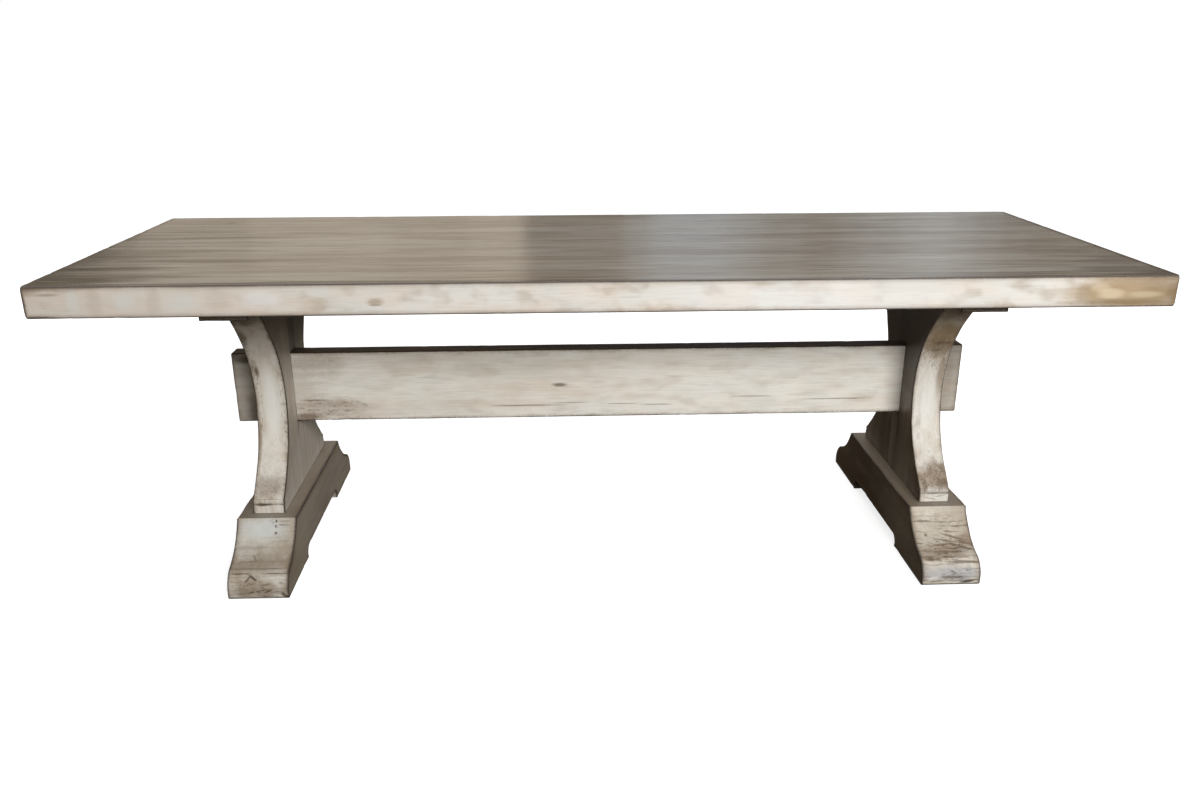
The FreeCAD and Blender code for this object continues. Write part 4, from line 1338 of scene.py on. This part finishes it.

# %% [markdown]
# The arris of a foot is uneven, because it was rounded by hand: the product of two sine waves along
# the curve varies its radius. Dirt lies in the crease and along the sides. The shoulder is painted
# darker, as glaze and as shade from the top, most of all round the post, and the sides carry glaze and
# painted shade, the inner side of the right foot, which the lamps hardly reach, most of all. Each foot has
# room in its hollow for the heads of two lag screws.

# %% Feet
lag_room_radius = 0.014
lag_room_depth = 0.016
lag_y = 0.125
foot_lower_radius = 0.003
foot_looks = {               # seed, chips, strength of the ring lines
    "left": (51, left_foot_chips, 0.25),
    "right": (54, right_foot_chips, 0.75),
}
for side, way in (("left", -1), ("right", 1)):
    seed, chips, figure = foot_looks[side]
    centre_x = way * trestle_x
    arc = np.concatenate([[0.0], np.cumsum(np.linalg.norm(np.diff(foot_upper, axis=0), axis=1))])
    radius = 0.0035 + 0.0015 * np.sin(arc * 41 + seed)[:, None] * np.sin(arc * 17)[:, None]
    rings, to_upper, to_lower = ruled_board(
        foot_upper, foot_lower, foot_half, radius, foot_lower_radius, centre_x)
    rub = np.minimum(to_upper, to_lower)
    y, z = rings[..., 1], rings[..., 2]
    from_crease = np.hypot(np.abs(y) - (toe - cove_end_inset), z - crease_height)
    from_crease = from_crease * (1 - 0.3 * ripple(rings, 0.03, seed))
    from_post = np.maximum(np.abs(rings[..., 0] - centre_x) - post_half, np.abs(y) - plinth_half)
    on_shoulder = (z > foot_top - 0.001).astype(float)
    on_side = np.abs(rings[..., 0] - centre_x) > foot_half - 0.001
    grime_and_shade = np.max([0.55 * np.exp(-(from_crease / 0.003) ** 2),
                    0.55 * on_shoulder * np.exp(-(np.maximum(from_post, 0) / 0.010) ** 2),
                    0.9 * on_side * np.exp(-(to_upper / 0.008) ** 2)], axis=0)
    # Glaze and painted shade on the sides and the shoulder; the inner side of the right foot gets the most
    # painted shade.
    foot_side_glaze_and_shade = 0.85 + 0.2 * (side == "right")
    right_inner_foot_shade = (side == "right") * (rings[..., 0] < centre_x) * np.clip(y + 0.1, 0, 0.5)
    glaze_and_shade = np.maximum((foot_side_glaze_and_shade + right_inner_foot_shade) * on_side, on_shoulder * (np.abs(y) < shoulder))
    marks = {"rub": rub, "seam": np.full(rub.shape, plain_side), "grime_and_shade": grime_and_shade, "glaze_and_shade": glaze_and_shade}
    rings = weathered(rings, rub, seed)
    rings[..., 2] = np.maximum(rings[..., 2], 0.0)
    finish = limewash(
        f"foot_limewash_{side}", 1, 400 + seed, chips, speckle=0.6, gloss=0.45, figure=figure,
        stains=foot_stains[side], flecked=foot_flecked[side], edge=0.0085)
    piece = skin(f"foot_sled_{side}", rings, marks, finish, "trestle_finish", f"foot_{side}")
    for end in (-1, 1):
        bore(piece, (centre_x, end * lag_y, arch_height), lag_room_radius, 0.0, lag_room_depth)

# %% [markdown]
# ## The posts
#
# A post is two curved leaves, glued to two core blocks. The shown face of a leaf starts with a
# plinth: a flat, a groove and a bead. From there the curve sweeps in to the waist and out again to
# the cleat. It is two cubic curves that share an upright tangent at the waist. The joint between
# leaf and core keeps a thin line of glaze.

# %% Leaf outline
plinth_face_height = 0.020
plinth_groove_depth = 0.003
plinth_groove_height = 0.004
plinth_bead_height = 0.010
plinth_bead_setback = 0.002
curve_start_setback = 0.008
curve_start_angle = math.radians(48.0)
curve_start_pull = 0.050
waist_half = 0.120
waist_height = 0.401
waist_pull_down = 0.136
waist_pull_up = 0.124
curve_end_angle = math.radians(42.5)
curve_end_pull = 0.082
head_face_height = 0.0165

post_bottom = foot_top
post_top = leaf_high.z
curve_end_half = leaf_high.y
core_half = leaf_low.y


def leaf_curves():
    """The shown and the glued curve of the rear leaf, from the foot up."""
    groove_low = post_bottom + plinth_face_height
    groove_high = groove_low + plinth_groove_height
    plinth_top = groove_high + plinth_bead_height
    bead_edge = plinth_half - plinth_bead_setback - plinth_groove_depth / 2
    start = (plinth_half - curve_start_setback, plinth_top)
    end = (curve_end_half, post_top - head_face_height)
    lower_poles = (start,
                   (start[0] - curve_start_pull * math.cos(curve_start_angle),
                    start[1] + curve_start_pull * math.sin(curve_start_angle)),
                   (waist_half, waist_height - waist_pull_down), (waist_half, waist_height))
    upper_poles = ((waist_half, waist_height), (waist_half, waist_height + waist_pull_up),
                   (end[0] - curve_end_pull * math.cos(curve_end_angle),
                    end[1] - curve_end_pull * math.sin(curve_end_angle)), end)
    groove = (plinth_half - plinth_groove_depth, (groove_low + groove_high) / 2)
    shown = chain(
        straight((plinth_half, post_bottom), (plinth_half, groove_low), 7),
        straight((plinth_half, groove_low), groove, 4),
        straight(groove, (bead_edge, groove_high), 4),
        bowed((bead_edge, groove_high), (bead_edge, plinth_top), -plinth_groove_depth / 2, 8),
        straight((bead_edge, plinth_top), start, 4),
        pulled(lower_poles, 46), pulled(upper_poles, 46),
        straight(end, (curve_end_half, post_top), 5))
    run = np.concatenate([[0.0], np.cumsum(np.linalg.norm(np.diff(shown, axis=0), axis=1))])
    z = post_bottom + run / run[-1] * (post_top - post_bottom)
    return shown, np.stack([np.full(len(z), core_half), z], -1)


leaf_shown, leaf_glued = leaf_curves()
print("leaf curves", leaf_shown.shape, "waist", round(float(leaf_shown[:, 0].min()), 3))

# %% [markdown]
# The sides of a post were not wiped as its face was, and they are painted darker towards the top as
# shade from the table top. Two sums over the rings say how much glaze and shade and how much dirt and
# shade each point has. Dirt and shade are bell curves of the distances to the places that gather them.

# %% Glaze and dirt on the posts
shade_from = 0.38            # heights between which the sides of a post grow darker
shade_to = 0.58


def flank_glaze_and_shade(rings, centre_x):
    """Glaze and painted shade on the sides of a post: little near the foot, and nearly all of it under
    the top, where the top shades them. The inner side of the right post, which the lamps hardly reach,
    gets a second coat of painted shade."""
    from_middle = rings[..., 0] - centre_x
    on_side = np.abs(from_middle) > post_half - 0.001
    higher = np.clip((rings[..., 2] - shade_from) / (shade_to - shade_from), 0, 1)
    right_inner_shade = (0.6 + 1.3 * higher) * (from_middle < 0) * (centre_x > 0)
    return on_side * (0.5 + right_inner_shade + 0.75 * higher)


def post_grime_and_shade(rings, centre_x, to_shown=plain_side):
    """Dirt in the plinth's groove and along the arrises, dirt and painted shade round the stretcher, and
    painted shade under the cleat.
    """
    y, z = np.abs(rings[..., 1]), rings[..., 2]
    beyond = np.maximum(stretcher_low.z - z, z - stretcher_high.z)
    beyond = np.hypot(np.maximum(beyond, 0), np.maximum(y - core_half, 0))
    on_side = (np.abs(rings[..., 0] - centre_x) > post_half - 0.002).astype(float)
    groove_middle = post_bottom + plinth_face_height + plinth_groove_height / 2
    in_groove = 0.75 * np.exp(-((z - groove_middle) / 0.0025) ** 2) * (y > plinth_half - 0.02)
    below_stretcher = np.clip(1 - (stretcher_low.z - z) / 0.085, 0, 1) * (z < stretcher_low.z)
    return np.max([0.8 * on_side * np.exp(-(beyond / 0.007) ** 2), in_groove,
                   0.9 * on_side * below_stretcher * np.exp(-((y - core_half) / 0.003) ** 2),
                   0.9 * on_side * np.exp(-(to_shown / 0.009) ** 2),
                   # The last term is painted shade under the cleat and the top.
                   0.85 * np.exp(-((post_top - z) / 0.022) ** 2)], axis=0)


print("the sides grow darker from", shade_from, "to", shade_to, "m above the floor")

# %% [markdown]
# The front leaves carry marks of their own: painted shade under the cleats, glaze above the plinths,
# a golden patch high on the right one, a painted highlight at the waists and dark flecks down both faces.

# %% Marks on the leaves
leaf_stains = {
    # The first stain of each front leaf is painted shade under the cleat.
    ("front", "left"): [((-0.835, -0.24, 0.648), (0.06, 0.08, 0.045), 0.65, umber_glaze),
                        ((-0.794, -0.185, 0.590), (0.010, 0.08, 0.060), 0.5, umber_glaze),
                        ((-0.862, -0.200, 0.580), (0.012, 0.05, 0.035), 0.7, umber_glaze),
                        ((-0.856, -0.133, 0.476), (0.006, 0.05, 0.016), 0.8, umber_glaze),
                        ((-0.860, -0.140, 0.485), (0.012, 0.05, 0.030), 0.4, brown_glaze),
                        # a painted highlight at the waist
                        ((-0.830, -0.13, 0.40), (0.020, 0.05, 0.12), 0.7, pale_paint_and_highlight),
                        ((-0.868, -0.15, 0.31), (0.008, 0.06, 0.14), 0.5, brown_glaze),
                        ((-0.835, -0.22, 0.205), (0.06, 0.06, 0.035), 0.5, brown_glaze),
                        ((-0.845, -0.252, 0.169), (0.022, 0.02, 0.004), 0.9, umber_glaze)],
    ("front", "right"): [((0.838, -0.24, 0.64), (0.06, 0.08, 0.050), 0.5, umber_glaze),
                         ((0.838, -0.180, 0.555), (0.06, 0.09, 0.085), 0.85, golden),
                         ((0.838, -0.160, 0.525), (0.05, 0.05, 0.040), 0.55, brown_glaze),
                         ((0.842, -0.164, 0.535), (0.030, 0.03, 0.006), 0.6, umber_glaze),
                         ((0.832, -0.151, 0.513), (0.025, 0.03, 0.005), 0.5, umber_glaze),
                         ((0.861, -0.13, 0.45), (0.012, 0.05, 0.07), 0.6, brown_glaze),
                         # a painted highlight at the waist
                         ((0.836, -0.13, 0.365), (0.030, 0.05, 0.065), 0.3, bright),
                         ((0.845, -0.225, 0.200), (0.07, 0.06, 0.050), 0.75, brown_glaze),
                         ((0.864, -0.215, 0.222), (0.012, 0.05, 0.012), 0.5, umber_glaze),
                         ((0.858, -0.240, 0.188), (0.022, 0.05, 0.012), 0.6, umber_glaze),
                         ((0.808, -0.240, 0.186), (0.008, 0.05, 0.016), 0.5, umber_glaze),
                         ((0.826, -0.254, 0.155), (0.024, 0.02, 0.0022), 0.6, brown_glaze, 14),
                         ((0.846, -0.254, 0.162), (0.022, 0.02, 0.0018), 0.6, brown_glaze, -10)],
}
leaf_flecked = {
    "left": [((-0.80, -0.13, 0.38), (0.012, 0.05, 0.16), 0.5),
             ((-0.865, -0.15, 0.45), (0.012, 0.08, 0.16), 0.5),
             ((-0.835, -0.23, 0.20), (0.04, 0.05, 0.03), 0.4)],
    "right": [((0.84, -0.23, 0.20), (0.05, 0.05, 0.05), 0.6),
              ((0.84, -0.16, 0.50), (0.06, 0.08, 0.08), 0.3)],
}
print("marks on the leaves", {" ".join(leaf): len(stains) for leaf, stains in leaf_stains.items()})

# %% [markdown]
# A front leaf is the rear one mirrored. Leaves and cores grow upwards, so their grain is along Z. The
# core blocks show only their sides, between the leaves.

# %% Leaves and cores
glued_radius = 0.001
for side, way in (("left", -1), ("right", 1)):
    centre_x = way * trestle_x
    for place, turn, seed in (("front", mirrored, 61), ("rear", 1.0, 65)):
        seed += way
        height = leaf_shown[:, 1]
        radius = 0.0035 + 0.0012 * np.sin(height * 63 + seed)[:, None] * np.sin(height * 29)[:, None]
        rings, to_shown, to_glued = ruled_board(
            leaf_shown * turn, leaf_glued * turn, post_half, radius, glued_radius, centre_x)
        marks = {"rub": to_shown, "seam": to_glued, "grime_and_shade": post_grime_and_shade(rings, centre_x, to_shown),
                 "glaze_and_shade": flank_glaze_and_shade(rings, centre_x)}
        rings = weathered(rings, to_shown, seed)
        finish = limewash(
            f"leaf_limewash_{place}_{side}", 2, 500 + seed, post_chips, glaze=0.45, tinted=0.2, gloss=0.34,
            stains=leaf_stains.get((place, side), ()), flecked=leaf_flecked[side], edge=0.005)
        skin(f"leaf_{place}_{side}", rings, marks, finish, "trestle_finish", f"post_{place}_leaf_{side}")
    for level, seed in (("lower", 71), ("upper", 73)):
        rings, marks = board(
            f"post_{level}_core_{side}", (2, 0, 1), side_radii=(0.0005,) * 4,
            arris_radii=(glued_radius,) * 4, exposed=(True, True, False, False), seed=seed + way)
        marks["rub"] = marks["rub"] + plain_side
        marks["glaze_and_shade"] = flank_glaze_and_shade(rings, centre_x)
        marks["grime_and_shade"] = post_grime_and_shade(rings, centre_x)
        finish = limewash(
            f"core_limewash_{level}_{side}", 2, 600 + seed + way, post_chips, cover=0.4, gloss=0.4)
        skin(f"core_{level}_{side}", rings, marks, finish, "trestle_finish", f"post_{level}_core_{side}")

# %% [markdown]
# ## Plugs at the back
#
# Two screws hold the stretcher in each post. They come in from the rear, and a wooden plug hides
# each of them. A plug is a small disc, trimmed to the leaf's curve. Its face is the leaf's own curve,
# read at the plug's height, and swells a hair past it in the middle.

# %% Plugs
plug_radius = 0.010
plug_rise = 0.045
plug_depth = 0.020
plug_sides = 32
stretcher_middle = (stretcher_low.z + stretcher_high.z) / 2


def plug_rings(x, z):
    """Circles from the sunk end, out along the side, over a small round, in to the middle."""
    turn = np.linspace(0, 2 * np.pi, plug_sides + 1)[:-1]
    shares = np.array([0.3, 0.97, 1.0, 1.0, 0.97, 0.9, 0.6, 0.3])[:, None]
    sunk = np.array([1.0, 1.0, 0.96, 0.02, 0.0, -0.005, -0.012, -0.016])[:, None] * plug_depth
    across = x + plug_radius * shares * np.cos(turn)
    up = z + plug_radius * shares * np.sin(turn)
    face = np.interp(up, leaf_shown[:, 1], leaf_shown[:, 0])
    return np.stack([across, face - sunk, up], -1)


plug_finish = limewash("plug_limewash", 1, 700, post_chips, cover=0.35, glaze=0.7, gloss=0.4, edge=0.0015)
plug_places = [(way * trestle_x, stretcher_middle + rise)
               for way in (-1, 1) for rise in (-plug_rise, plug_rise)]
for number, (plug_x, plug_z) in enumerate(plug_places, 1):
    rings = plug_rings(plug_x, plug_z)
    from_rim = plug_radius - np.hypot(rings[..., 0] - plug_x, rings[..., 2] - plug_z)
    marks = clean(rings) | {"rub": from_rim, "seam": np.maximum(from_rim, 0)}
    skin(f"plug_{number}", rings, marks, plug_finish, "trestle_finish", "stretcher_screw_plugs")

# %% [markdown]
# ## What the screws and hidden wood are made of
#
# Tongues and dowels are bare wood with straight grain. The lag screws and washers in the feet are
# zinc plated and a little cloudy; the bolts, washers and inserts under the top are black steel.
# These pieces keep their CAD shape and only get a material.

# %% Fastener and bare wood materials
def bare_wood(name, grain):
    """Unpainted pine: broad bands, fine fibre and a dry surface."""
    material = bpy.data.materials.new(name)
    material.use_nodes = True
    sheet = Wire(material.node_tree)
    place = sheet.node("ShaderNodeTexCoord", {}, {}, "Object")
    along = place.times(grain_stretch[grain])
    band = along.noise(30.0, 3.0, 0.5, 0.5)
    fibre = along.noise(260.0, 3.0, 0.6)
    colour = (band * 0.6 + fibre * 0.4).rise(0.38, 0.64).blend(paint(206, 172, 128), paint(168, 130, 88))
    shader = material.node_tree.nodes["Principled BSDF"]
    sheet.plug(shader.inputs["Base Color"], colour)
    sheet.plug(shader.inputs["Roughness"], 0.6 + fibre * 0.2)
    bump = sheet.node("ShaderNodeBump", {}, {"Height": fibre, "Strength": 0.3, "Distance": 0.0003})
    sheet.plug(shader.inputs["Normal"], bump)
    return material


def steel(name, pale, deep, roughness, metallic):
    """Plated or blackened steel: a cloudy tint and a brushed, slightly uneven sheen."""
    material = bpy.data.materials.new(name)
    material.use_nodes = True
    sheet = Wire(material.node_tree)
    place = sheet.node("ShaderNodeTexCoord", {}, {}, "Object")
    cloud = place.noise(140.0, 4.0, 0.6)
    grit = place.noise(1400.0, 2.0, 0.6)
    shader = material.node_tree.nodes["Principled BSDF"]
    sheet.plug(shader.inputs["Base Color"], cloud.rise(0.4, 0.62).blend(deep, pale))
    sheet.plug(shader.inputs["Roughness"], roughness + (cloud - 0.5) * 0.25 + grit * 0.1)
    shader.inputs["Metallic"].default_value = metallic
    bump = sheet.node("ShaderNodeBump", {}, {"Height": grit, "Strength": 0.2, "Distance": 0.0001})
    sheet.plug(shader.inputs["Normal"], bump)
    return material


zinc = steel("zinc_plate", paint(198, 200, 202), paint(150, 154, 158), 0.32, 1.0)
blackened = steel("black_steel", paint(52, 52, 54), paint(30, 30, 32), 0.42, 0.85)
tongue_wood = bare_wood("tongue_wood", 0)
dowel_wood = bare_wood("dowel_wood", 1)
kept = {
    "plank_tongues": tongue_wood, "post_dowels_left": dowel_wood, "post_dowels_right": dowel_wood,
    "foot_lag_screws": zinc, "foot_lag_washers": zinc, "stretcher_lag_screws": zinc, "cleat_screws": zinc,
    "top_bolts": blackened, "top_bolt_washers": blackened, "top_threaded_inserts": blackened,
}
for node, material in kept.items():
    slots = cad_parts[node].data.materials
    slots.clear()
    slots.append(material)
print("kept nodes", len(kept))

# %% [markdown]
# ## Finish
#
# Colours go to the screen as they are, without a film look.

# %% View transform
bpy.context.scene.view_settings.view_transform = "Standard"
